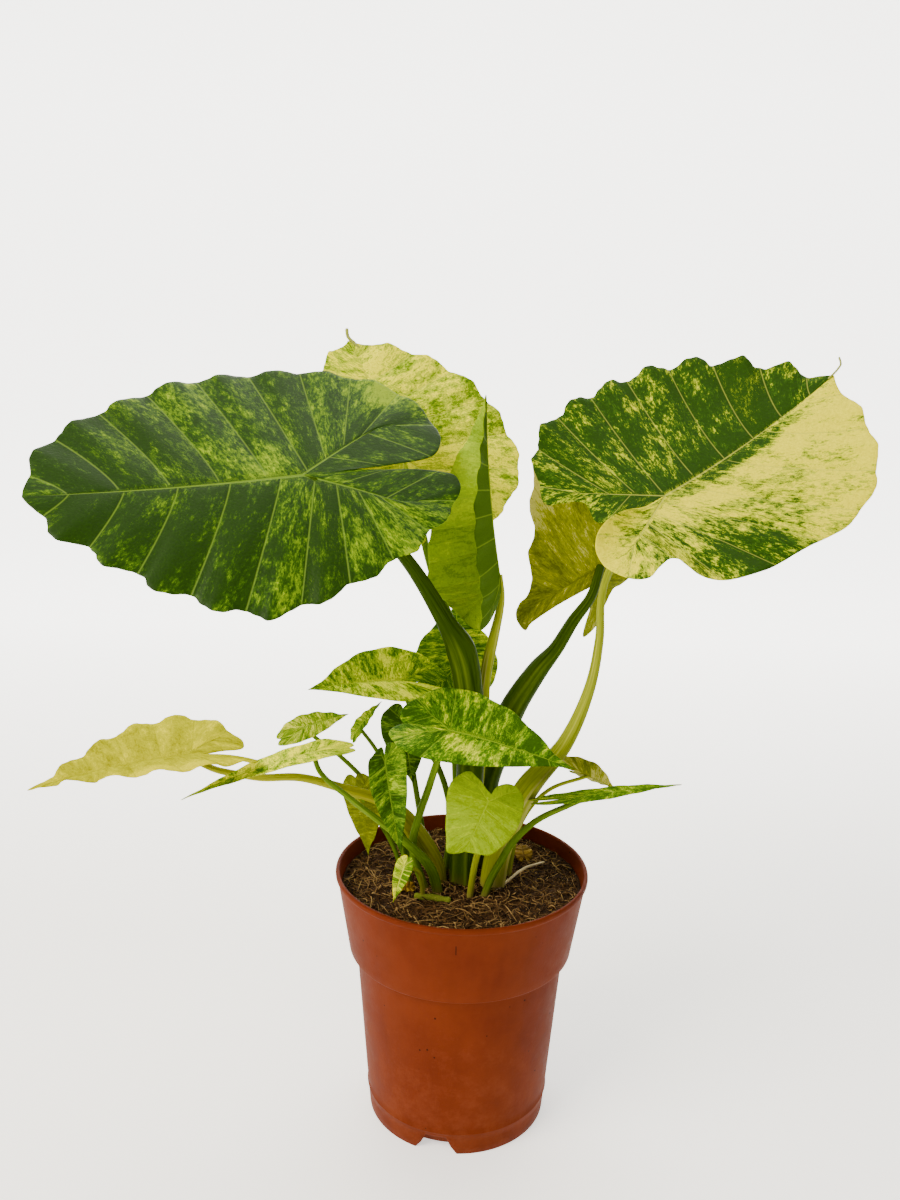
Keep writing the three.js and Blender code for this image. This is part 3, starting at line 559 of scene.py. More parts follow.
@dataclass(frozen=True)
class StalkFinish:
    """Living aroid stalk: a smooth waxed skin with lengthwise stripes over spongy tissue.

    Attribute "round" holds the way round in turns, the way along in mm and the paleness;
    "edge" holds the sheath's rim, the browning near the soil and a seed.
    """

    name: str
    dark: str
    middle: str
    light: str
    rim: str
    foot: str
    # wide and narrow stripes: the noise's size round the stalk and in a mm along it, and its strength
    STRIPES = ((3.0, 0.012, 0.42), (8.0, 0.03, 0.45))
    ROUGHNESS = 0.45
    SHEEN = 0.02
    IOR = 1.45

    def make(self) -> bpy.types.Material:
        """Builds the material, which gives the eye soft stripes, a paler rim and a brown foot.

        Returns:
            The finished material.
        """
        material, tree = new_material(self.name)
        ring, edge = read_layers(tree, "round", "edge")
        # a place on a circle, so that the stripes join up all round
        turn = add_node(tree, "Math", {0: ring[0], 1: 2 * math.pi}, operation="MULTIPLY")
        cosine = add_node(tree, "Math", {0: turn}, operation="COSINE")
        sine = add_node(tree, "Math", {0: turn}, operation="SINE")
        sources = []
        for size, along, strength in self.STRIPES:
            x = add_node(tree, "Math", {0: cosine, 1: size, 2: edge[2]}, operation="MULTIPLY_ADD")
            y = add_node(tree, "Math", {0: sine, 1: size}, operation="MULTIPLY")
            way = add_node(tree, "Math", {0: ring[1], 1: along}, operation="MULTIPLY")
            place = add_node(tree, "CombineXYZ", {0: x, 1: y, 2: way})
            noise = add_node(tree, "TexNoise", {"Vector": place, "Scale": 1.0, "Detail": 3.0})
            sources.append((noise, 2 * strength))
        value = sway(tree, ring[2], sources)
        ramp = add_node(tree, "ValToRGB", {0: value})
        set_ramp(ramp, (0.2, self.dark), (0.45, self.middle), (0.56, self.middle), (0.75, self.light))
        colour = ramp.outputs[0]
        for cover, over in ((edge[1], self.foot), (edge[0], self.rim)):
            colour = add_node(tree, "Mix", {"Factor": cover, 6: colour, 7: linear(over)},
                              data_type="RGBA").outputs[2]
        bump = add_node(tree, "Bump", {"Height": value, "Distance": 0.0006, "Strength": 0.35})
        shader = add_node(tree, "BsdfPrincipled", {"Base Color": colour, "Roughness": self.ROUGHNESS,
                                                   "Normal": bump, "IOR": self.IOR,
                                                   "Specular IOR Level": self.SHEEN})
        add_node(tree, "OutputMaterial", {"Surface": shader})
        return material


@dataclass(frozen=True)
class LitterFinish:
    """Potting mix of coir, peat and dry roots: matt, with each crumb in its own brown.

    Attribute "tint" holds the shade from dark to pale.
    """

    name: str
    stops: tuple[tuple[float, str], ...]
    GRAINS_PER_M = 900.0
    GRAIN_STRENGTH = 0.7
    ROUGHNESS = 0.9
    SHEEN = 0.08

    def make(self) -> bpy.types.Material:
        """Builds the material, which gives the eye a dry crumb with grains of about a millimetre.

        Returns:
            The finished material.
        """
        material, tree = new_material(self.name)
        tint, = read_layers(tree, "tint")
        place = add_node(tree, "TexCoord").outputs["Object"]
        grain = add_node(tree, "TexNoise", {"Vector": place, "Scale": self.GRAINS_PER_M, "Detail": 5.0,
                                            "Roughness": 0.7})
        ramp = add_node(tree, "ValToRGB", {0: sway(tree, tint[0], [(grain, self.GRAIN_STRENGTH)])})
        set_ramp(ramp, *self.stops)
        bump = add_node(tree, "Bump", {"Height": grain, "Distance": 0.0012, "Strength": 0.8})
        shader = add_node(tree, "BsdfPrincipled", {"Base Color": ramp, "Roughness": self.ROUGHNESS,
                                                   "Normal": bump, "Specular IOR Level": self.SHEEN})
        add_node(tree, "OutputMaterial", {"Surface": shader})
        return material


@dataclass(frozen=True)
class PotFinish:
    """Injection-moulded polypropylene in terracotta: satin, with dust, specks and a scratch.

    Places are in metres, as on the finished piece.
    """

    name: str = "moulded_terracotta_polypropylene"
    body: str = "62270b"
    shade: str = "551e07"
    speck: str = "2a1006"
    dust: str = "92523a"
    # the noise's sizes: clouds of 70 mm, flow lines 8 mm wide and 200 mm long, splashes of 17 mm,
    # and a grain that is drawn at 2 mm so that it shows
    CLOUDS_PER_M = 14.0
    FLOW_PER_M = (120.0, 120.0, 5.0)
    SPLASHES_PER_M = 60.0
    GRAINS_PER_M = 500.0
    SPECKS_PER_M = 170.0
    # below this height the dust grows denser
    DUST_TOP = 0.16
    # the middle of the scratch, then half its width and half its height
    SCRATCH_X = -0.0027
    SCRATCH_Z = 0.199
    SCRATCH_REACH = (0.0004, 0.004)
    SHEEN = 0.03
    IOR = 1.49

    def draw_specks(self, tree: Tree, place: Socket) -> Node:
        """Adds the specks of soil, up to 2 mm across, in one of six of the noise's cells.

        A speck is where the way to its cell's middle is less than its own random reach.

        Args:
            tree: the material's tree.
            place: the place on the pot.

        Returns:
            The node that gives 1 on a speck.
        """
        cells = add_node(tree, "TexVoronoi", {"Vector": place, "Scale": self.SPECKS_PER_M}, feature="F1")
        size = add_node(tree, "SeparateXYZ", {0: cells.outputs["Color"]})
        reach = add_node(tree, "MapRange", {0: size, 1: 0.84, 2: 1.0, 3: 0.0, 4: 0.17})
        return add_node(tree, "Math", {0: cells.outputs["Distance"], 1: reach}, operation="LESS_THAN")

    def draw_scratch(self, tree: Tree, part: Sockets) -> Node:
        """Adds one short dark scratch, 8 mm long, below the rim in front.

        Args:
            tree: the material's tree.
            part: the place on the pot as x, y and z.

        Returns:
            The node that gives 1 on the scratch: where x and z are near its middle and y is in front.
        """
        wide, high = self.SCRATCH_REACH
        level = add_node(tree, "Math", {0: part[2], 1: self.SCRATCH_Z, 2: high}, operation="COMPARE")
        beside = add_node(tree, "Math", {0: part[0], 1: self.SCRATCH_X, 2: wide}, operation="COMPARE")
        front = add_node(tree, "Math", {0: part[1], 1: 0.0}, operation="LESS_THAN")
        both = add_node(tree, "Math", {0: level, 1: beside}, operation="MULTIPLY")
        return add_node(tree, "Math", {0: both, 1: front}, operation="MULTIPLY")

    def make(self) -> bpy.types.Material:
        """Builds the material, which gives the eye a satin wall that dulls and pales to the foot.

        Returns:
            The finished material.
        """
        material, tree = new_material(self.name)
        place = add_node(tree, "TexCoord").outputs["Object"]
        part = add_node(tree, "SeparateXYZ", {0: place}).outputs
        cloud = add_node(tree, "TexNoise", {"Vector": place, "Scale": self.CLOUDS_PER_M, "Detail": 6.0,
                                            "Roughness": 0.65})
        ramp = add_node(tree, "ValToRGB", {0: cloud})
        set_ramp(ramp, (0.3, self.shade), (0.68, self.body))
        # flow lines of the moulding: long faint streaks up the wall
        drawn = add_node(tree, "Mapping", {0: place, 3: self.FLOW_PER_M})
        streak = add_node(tree, "TexNoise", {"Vector": drawn, "Scale": 1.0, "Detail": 3.0})
        shade = add_node(tree, "MapRange", {0: streak, 1: 0.3, 2: 0.7, 3: 0.96, 4: 1.03})
        colour = add_node(tree, "Mix", {"Factor": 1.0, 6: ramp, 7: shade}, data_type="RGBA",
                          blend_type="MULTIPLY").outputs[2]
        # pale dust and dried splashes, denser towards the foot
        splash = add_node(tree, "TexNoise", {"Vector": place, "Scale": self.SPLASHES_PER_M, "Detail": 7.0,
                                             "Roughness": 0.75})
        low = add_node(tree, "MapRange", {0: part[2], 1: 0.0, 2: self.DUST_TOP, 3: 0.6, 4: 0.38})
        patch = add_node(tree, "Math", {0: splash, 1: low}, operation="MULTIPLY")
        film = add_node(tree, "MapRange", {0: patch, 1: 0.24, 2: 0.42, 3: 0.0, 4: 0.2})
        for cover, over in ((self.draw_specks(tree, place), self.speck),
                            (self.draw_scratch(tree, part), self.speck), (film, self.dust)):
            colour = add_node(tree, "Mix", {"Factor": cover, 6: colour, 7: linear(over)},
                              data_type="RGBA").outputs[2]
        rough = add_node(tree, "MapRange", {0: splash, 1: 0.3, 2: 0.7, 3: 0.45, 4: 0.62})
        grain = add_node(tree, "TexNoise", {"Vector": place, "Scale": self.GRAINS_PER_M, "Detail": 3.0})
        relief = add_node(tree, "Math", {0: streak, 1: 0.6, 2: grain}, operation="MULTIPLY_ADD")
        bump = add_node(tree, "Bump", {"Height": relief, "Distance": 0.0004, "Strength": 0.3})
        shader = add_node(tree, "BsdfPrincipled", {"Base Color": colour, "Roughness": rough, "Normal": bump,
                                                   "IOR": self.IOR, "Specular IOR Level": self.SHEEN})
        add_node(tree, "OutputMaterial", {"Surface": shader})
        return material


@dataclass(frozen=True)
class PaperFinish:
    """Uncoated white paper, rolled smooth: matt, with a glow that grows behind the plant.

    Places are in metres, as on the finished piece.
    """

    name: str = "pale_paper_backdrop"
    shade: str = "fafaf8"
    light: str = "fcfcfa"
    glow: str = "fffefa"
    CLOUDS_PER_M = 3.0
    ROUGHNESS = 0.85
    # where the glow starts to grow and where it stops, and its strength at both
    GLOW_FROM = (0.25, 0.95)
    GLOW_TO = (1.6, 3.2)

    def make(self) -> bpy.types.Material:
        """Builds the material, which gives the eye a ground that is white behind the plant.

        Returns:
            The finished material.
        """
        material, tree = new_material(self.name)
        place = add_node(tree, "TexCoord").outputs["Object"]
        noise = add_node(tree, "TexNoise", {"Vector": place, "Scale": self.CLOUDS_PER_M, "Detail": 2.0})
        ramp = add_node(tree, "ValToRGB", {0: noise})
        set_ramp(ramp, (0.3, self.shade), (0.7, self.light))
        depth = add_node(tree, "SeparateXYZ", {0: place}).outputs[1]
        (start, weak), (end, strong) = self.GLOW_FROM, self.GLOW_TO
        glow = add_node(tree, "MapRange", {0: depth, 1: start, 2: end, 3: weak, 4: strong})
        shader = add_node(tree, "BsdfPrincipled", {"Base Color": ramp, "Roughness": self.ROUGHNESS,
                                                   "Emission Color": linear(self.glow),
                                                   "Emission Strength": glow})
        add_node(tree, "OutputMaterial", {"Surface": shader})
        return material


class Leaf(Enum):
    """The finishes of the blades."""

    MARBLED = LeafFinish("marbled_leaf", "mixed_leaf", "2c4c06", "446e08", "82a00e", "ccd410", "7c9c20",
                         "5f7420", sheen=0.01)
    # the middle and inner leaves' own fresh yellow-green marbling, with painted light: its colours are paler
    # than the leaves' own, to stand in for light on two leaves that lie in the shade of the large ones
    BRIGHT = LeafFinish("marbled_leaf_with_painted_light", "mixed_leaf", "355c06", "547a06", "9cb814", "e8ec18",
                        "9cb82c", "7c9024", roughness=0.5, sheen=0.0)
    MATT = LeafFinish("matt_marbled_leaf", "mixed_leaf", "33520a", "4c7008", "7c9410", "c8cc40", "7c9828",
                      "6a801c", roughness=0.6, sheen=0.0)
    SOFT = LeafFinish("young_dark_leaf", "dark_leaf", "223a04", "335404", "587606", "88a010", "64801c",
                      "4c6410", roughness=0.5, sheen=0.03)
    DARK = LeafFinish("dark_glossy_leaf", "dark_leaf", "1c3703", "2b4c05", "577a06", "86a20a", "6c8c28",
                      "4f661c", roughness=0.4, sheen=0.11, vein_strength=0.75, side_vein=0.42)
    CREAM = LeafFinish("cream_marbled_leaf", "cream_leaf", "213e04", "31540a", "98aa10", "dcd600", "a8b048",
                       "a8a848", roughness=0.5, sheen=0.04, streaks=(0.42, 0.42, 0.5))
    BACK = LeafFinish("cream_back_leaf", "cream_leaf", "42640a", "6c8e0c", "b4c41a", "f4f000", "c8cc44",
                      "b4b848", roughness=0.5, sheen=0.0, streaks=(0.42, 0.4, 0.44))
    LIME = LeafFinish("lime_leaf", "lime_leaf", "566e00", "688200", "7a9400", "94aa00", "94a814", "6f8a08",
                      sheen=0.02, marbling=0.55, vein_strength=0.4)
    ROLLED = LeafFinish("rolled_lime_leaf", "lime_leaf", "547004", "688804", "80a004", "98b408", "88a420",
                        "3a560a", sheen=0.04, marbling=0.5, under_mix=0.9)
    YELLOW = LeafFinish("yellow_leaf", "yellow_leaf", "888800", "a0a000", "b2b000", "ccc600", "848800",
                        "a09a00", sheen=0.0, marbling=0.8, vein_strength=0.45, side_vein=0.4)
    OLIVE = LeafFinish("olive_leaf", "olive_leaf", "4c5402", "666e04", "82880a", "b4b050", "545e0a",
                       "62700c", roughness=0.5, sheen=0.03, marbling=0.8, vein_strength=0.65,
                       side_vein=0.45, under_mix=0.1)
    DRY = LeafFinish("dried_leaf", "dry_leaf", "3c2a06", "5a4408", "74590c", "907620", "4a3808", "5c4408",
                     roughness=0.8)


@dataclass(frozen=True)
class Patch:
    """A lighter or darker stretch of a blade, in shares of its length and half width."""

    along: float
    across: float
    reach_along: float
    reach_across: float
    change: float


@dataclass
class Blade:
    """The blade of one leaf: the sizes that its surface is worked out from, and how it is marked.

    junction is where the stalk meets the blade and tip its end; faces is the way that the
    upper side looks; half and lobe are the half width and the lobe's length; arch and
    lobe_arch bend the midrib and the lobes down; fold raises each half from the midrib and
    roll bends it further by the margin. ruffle is the margin's scallop, as a percentage of
    the width, wave its rise and fall in mm, and bays how often it rises, once for each side
    vein. quilt is the height of the tissue between side veins, curl the margin's own
    unevenness and lip the rise of the lobe's inner edge, in mm. rib is the midrib's half
    width. paleness goes from 0, dark, to 1, pale. Where the two halves differ, a size is a
    pair, left and right.
    """

    name: str
    finish: Leaf
    junction: Point
    tip: Point
    faces: Point
    half: Sides
    lobe: Sides
    arch: float
    fold: Sides
    roll: Sides
    paleness: Sides
    lobe_arch: float = 15
    outline: Outline | tuple[Outline, Outline] = Outline.YOUNG
    ruffle: Sides = 0.8
    wave: float = 0.35
    bays: int = 5
    large: bool = False
    quilt: float = 0.3
    curl: float = 0.2
    rib: float = 0.6
    lip: Sides = 0.0
    seed: float = 0
    patches: tuple[Patch, ...] = ()
    PAIRS = ("half", "lobe", "fold", "roll", "paleness", "outline", "ruffle", "lip")
    THICKNESS = 0.7
    # how far along the midrib, and along the lobe, the columns leave the rib, as shares of both
    RIB_START = 0.94
    RIB_REACH = 0.62
    # columns from the tip to the widest place, on to the lobe's end, and on to the notch
    LARGE_COLUMNS = (150, 70, 70)
    SMALL_COLUMNS = (56, 26, 26)
    # points in a column, from the rib to the margin
    LARGE_POINTS = 30
    SMALL_POINTS = 15
    # steps between two points of an outline, before it is measured off in equal steps
    MARGIN_STEPS = 40
    # the smallest bend, in radians for each mm, so that a flat blade divides by no zero
    FLAT = 1e-9
    WELD = 0.01

    def __post_init__(self) -> None:
        """Makes pairs of single sizes, and works out the blade's length and its own axes.

        The length is that of the arc: its chord times half its angle over the sine of that.
        """
        for name in self.PAIRS:
            value = getattr(self, name)
            setattr(self, name, value if isinstance(value, tuple) else (value, value))
        chord = np.subtract(self.tip, self.junction).astype(float)
        turn = math.radians(self.arch)
        self.length = np.linalg.norm(chord) * (turn / 2) / math.sin(turn / 2)
        ahead = unit(chord)
        faces = np.array(self.faces, float)
        up = unit(faces - ahead * (faces @ ahead))
        self.along = ahead * math.cos(turn / 2) + up * math.sin(turn / 2)
        self.normal = up * math.cos(turn / 2) - ahead * math.sin(turn / 2)
        self.left = np.cross(self.normal, self.along)

    def at(self, a: Array, b: Array, lift: Array) -> Array:
        """Returns points of the bent blade.

        The midrib is an arc, and each half is an arc across it that starts at its fold
        angle. The lift is measured along the surface's own normal.

        Args:
            a: way along the midrib from the junction, in mm; the lobes lie behind 0.
            b: way across in mm, to the left.
            lift: height above the blade's middle surface, in mm.

        Returns:
            Rows of x, y, z in mm.
        """
        lobe_turn = math.radians(self.lobe_arch) / max(self.lobe)
        tip_turn = math.radians(self.arch) / self.length
        turn = np.where(a < 0, lobe_turn, tip_turn)
        turn = np.where(np.abs(turn) < self.FLAT, self.FLAT, turn)
        ahead = np.where(a < 0, -1.0, 1.0)
        bent = turn * np.abs(a)
        right = b < 0
        start = np.where(right, math.radians(self.fold[1]), math.radians(self.fold[0]))
        left_bend, right_bend = (math.radians(roll) / half for roll, half in zip(self.roll, self.half))
        bend = np.where(right, right_bend, left_bend)
        bend = np.where(np.abs(bend) < self.FLAT, 100 * self.FLAT, bend)
        angle = start + bend * np.abs(b)
        across = (np.sin(angle) - np.sin(start)) / bend
        rise = (np.cos(start) - np.cos(angle)) / bend
        hand = np.where(right, -1.0, 1.0)
        tilt = angle * smooth(np.abs(b), 0, 3)

        def spread(amount: Array, axis: Array) -> Array:
            """Returns an amount for each point times one axis."""
            return amount[..., None] * axis

        up = spread(np.cos(bent), self.normal) + spread(ahead * np.sin(bent), self.along)
        out = up * np.cos(tilt)[..., None] - spread(hand * np.sin(tilt), self.left)
        return (np.array(self.junction, float)
                + spread(ahead * np.sin(bent) / turn, self.along)
                - spread((1 - np.cos(bent)) / turn, self.normal)
                + spread(hand * across, self.left)
                + up * rise[..., None] + out * lift[..., None])

    def margin(self, side: Side, counts: tuple[int, int, int]) -> tuple[Array, Array]:
        """Works out the flat margin of one half: the outline's curve, measured off in equal steps.

        Args:
            side: which half.
            counts: steps from the tip to the widest place, to the lobe's end, and to the notch.

        Returns:
            Rows of a and b in mm, and the share of the way from the tip to the lobe's end.
        """
        shares = np.array(self.outline[side.value].value, float)
        lobe, notch = self.lobe[side.value], min(self.lobe)
        scale = np.where(shares[:, 0] > 0, self.length, np.where(shares[:, 1] == 0, notch, lobe))
        points = np.stack([shares[:, 0] * scale, shares[:, 1] * self.half[side.value]], -1)
        fine = self.MARGIN_STEPS
        curve = flat_curve(points, fine)
        reach = np.concatenate([[0], np.cumsum(np.linalg.norm(np.diff(curve, axis=0), axis=1))])
        widest = int(np.argmax(shares[:, 1]))
        lobe_end = int(np.argmin(shares[:, 0]))
        stations = [0, widest * fine, lobe_end * fine, len(curve) - 1]
        goals = [np.linspace(reach[p], reach[q], n + 1)[(1 if i else 0):]
                 for i, (p, q, n) in enumerate(zip(stations, stations[1:], counts))]
        goal = np.concatenate(goals)
        edge = np.stack([np.interp(goal, reach, curve[:, k]) for k in (0, 1)], -1)
        return edge, goal / reach[lobe_end * fine]

    def lobe_rib(self, side: Side) -> tuple[float, float]:
        """Works out the end of the lobe's rib: halfway between the lobe's outer and inner margin.

        Args:
            side: which half.

        Returns:
            The end's a and b in mm.
        """
        shares = self.outline[side.value].value
        reach = min(self.RIB_REACH, -0.75 * min(a for a, _ in shares))
        crossings = [b0 + (b1 - b0) * (a0 + reach) / (a0 - a1)
                     for (a0, b0), (a1, b1) in zip(shares, shares[1:])
                     if (a0 + reach) * (a1 + reach) <= 0 and a0 != a1]
        middle = (crossings[0] + crossings[-1]) / 2
        return -reach * self.lobe[side.value], middle * self.half[side.value]

    def tissue(self, share: Array, phase: Array, u: Array, turned: Array) -> Array:
        """Works out how far the tissue is raised between two side veins, as a share of the quilt.

        It is the product of one arch from vein to vein and one from the rib to the margin,
        faded out at the tip and at the lobe's end, and lower in the lobe.

        Args:
            share: each column's share of the way from the tip to the lobe's end.
            phase: the side vein count of every point.
            u: each point's share of the way from the rib to the margin.
            turned: each column's place on a step from the front, 0, to the lobe, 1.

        Returns:
            The height of every point, from 0 to 1.
        """
        puff = np.abs(np.cos(np.pi * phase)) ** 0.8 * np.sin(np.pi * np.clip(u, 0, 1) ** 0.75) ** 0.8
        puff = puff * np.clip(8 * share, 0, 1)[:, None] * np.clip(6 * (1.02 - share), 0, 1)[:, None]
        return puff * (1 - 0.6 * turned)[:, None]

    def shade(self, side: Side, a: Array, b: Array) -> Array:
        """Works out the paleness: the half's own, and a bell curve for each patch added to it.

        Args:
            side: which half.
            a: way along the midrib in mm.
            b: way across in mm.

        Returns:
            The paleness of every point.
        """
        share_a = np.where(a > 0, a / self.length, a / max(self.lobe))
        share_b = side.hand * b / self.half[side.value]
        pale = self.paleness[side.value] + 0 * a
        for p in self.patches:
            pale = pale + p.change * np.exp(-((share_a - p.along) / p.reach_along) ** 2
                                            - ((share_b - p.across) / p.reach_across) ** 2)
        return pale

    def sheet(self, side: Side) -> tuple[Array, Array, dict[str, Array]]:
        """Works out one half as columns that run from the midrib or the lobe's rib to the margin.

        A column leaves the rib square to it and sweeps towards the tip, as side veins do.
        The margin waves by a cosine for each bay, and a smooth groove sinks the rib.

        Args:
            side: which half.

        Returns:
            Flat places a and b as one array, the lift, and the marks of every point.
        """
        counts = self.LARGE_COLUMNS if self.large else self.SMALL_COLUMNS
        u = np.linspace(0, 1, self.LARGE_POINTS if self.large else self.SMALL_POINTS)
        edge, share = self.margin(side, counts)
        front, outer, inner = counts
        j = np.arange(len(edge))
        rib_a, rib_b = self.lobe_rib(side)
        way = np.where(j <= front + outer, (j - front) / outer, (front + outer + inner - j) / inner)
        way = np.clip(way, 0, 1)
        root_a = np.where(j <= front, self.RIB_START * self.length * (1 - j / front), rib_a * way)
        root_b = np.where(j <= front, 0.0, rib_b * way)
        fade = np.clip(10 * share, 0, 1) * np.clip(8 * (1 - share), 0, 1)
        wave = np.cos(2 * np.pi * self.bays * share) * fade
        uneven = ripple(6.5 * self.bays * share, self.seed) * fade
        scallop = 1 + 0.01 * self.ruffle[side.value] * (wave + 0.45 * uneven)
        sweep = np.where(j <= front, 1.3 - 0.3 * np.clip(j / front, 0, 1) ** 3, 1.0)[:, None]
        a = root_a[:, None] + (edge[:, :1] * scallop[:, None] - root_a[:, None]) * u ** sweep
        b = root_b[:, None] + (edge[:, 1:] * scallop[:, None] - root_b[:, None]) * u
        phase = np.repeat((self.bays * share)[:, None], len(u), 1)
        length = np.hypot(edge[:, 0] - root_a, edge[:, 1] - root_b)
        run = length[:, None] * u
        puff = self.tissue(share, phase, u, smooth(j, 0.85 * front, 1.15 * front))
        lift = self.wave * (wave + 0.3 * uneven)[:, None] * u**2 + self.quilt * puff
        lift = lift + self.curl * ripple(1.3 * self.bays * share, self.seed + 3)[:, None] * u**6
        inside = np.clip((j - front - outer) / inner, 0, 1)
        lift = lift + self.lip[side.value] * np.sin(np.pi * inside)[:, None] * u**2
        taper = np.clip(np.where(j <= front, root_a / self.length, 0.0), 0, 1)
        rib = np.where(j <= front, self.rib * (1.15 - taper), self.rib * (1 - 0.8 * way))[:, None] + 0 * u
        groove = smooth(rib * 2.2 - run, 0, 2.0) if self.large else 0 * run
        lift = lift - 0.5 * groove
        place = np.stack([a, b], -1)
        gap = np.linalg.norm(np.gradient(place, axis=0), axis=-1)
        spacing = gap / np.maximum(np.gradient(self.bays * share), 1e-6)[:, None]
        # the right half's count starts at 60, so that the two halves are marbled differently
        vein = np.stack([phase + 60 * side.value, run, spacing], -1)
        return place, lift, {"vein": vein, "pale": self.shade(side, a, b), "rib": rib}

    def make(self) -> bpy.types.Object:
        """Builds the blade as a closed shell: an upper and a lower sheet, and a rounded margin.

        Returns:
            The piece.
        """
        points, faces, layers = [], [], {"vein": [], "zone": [], "spot": []}
        start = 0
        for side in Side:
            place, lift, marks = self.sheet(side)
            a, b = place[..., 0], place[..., 1] * side.hand
            rows, columns = a.shape
            thin = self.THICKNESS / 2 * np.ones(columns)
            thin[-1] *= 0.6
            shells = [self.at(a, b, lift + sign * thin) for sign in (1, -1)]
            middle = self.at(a[:, -1], b[:, -1], lift[:, -1])
            outward = unit(middle - self.at(a[:, -2], b[:, -2], lift[:, -2]))
            brim = middle + outward * self.THICKNESS * 0.35
            flat = np.concatenate([shells[0].reshape(-1, 3), shells[1].reshape(-1, 3), brim])
            top = grid_faces(rows, columns, start)
            low = grid_faces(rows, columns, start + rows * columns)[:, ::-1]
            end = np.arange(rows) * columns + columns - 1 + start
            rim = np.arange(rows) + start + 2 * rows * columns
            under = end + rows * columns
            strips = [np.stack([end[:-1], rim[:-1], rim[1:], end[1:]], -1),
                      np.stack([rim[:-1], under[:-1], under[1:], rim[1:]], -1)]
            quads = np.concatenate([top, low, *strips])
            faces.append(quads if side is Side.RIGHT else quads[:, ::-1])
            points.append(flat)
            size = rows * columns
            vein = marks["vein"].reshape(-1, 3)
            pale, rib = marks["pale"].ravel(), marks["rib"].ravel()
            zone = np.stack([pale, np.zeros(size), rib], -1)
            beneath = np.stack([pale, np.ones(size), rib], -1)
            spot = np.stack([a.ravel(), b.ravel(), np.full(size, self.seed * 7.3)], -1)
            last = slice(columns - 1, None, columns)
            layers["vein"] += [vein, vein, vein[last]]
            layers["zone"] += [zone, beneath, zone[last]]
            layers["spot"] += [spot, spot, spot[last]]
            start += len(flat)
        stacked = {name: np.concatenate(values) for name, values in layers.items()}
        return make_piece(f"{self.name}_visual", np.concatenate(points), faces, stacked, weld=self.WELD)


class Stem(Enum):
    """The finishes of the stalks."""

    DARK = StalkFinish("dark_striped_stalk", "1f3202", "304604", "4a600a", "5c7014", "5c5428")
    GREEN = StalkFinish("green_stalk", "3c5608", "557010", "7c9028", "96a048", "6a5c30")
    PALE = StalkFinish("pale_green_stalk", "667206", "848e1c", "a8aa3c", "b8b060", "7c6c3c")
    YELLOW = StalkFinish("yellow_green_stalk", "666c08", "8a8c10", "a8a420", "6a6424", "6a5c30")


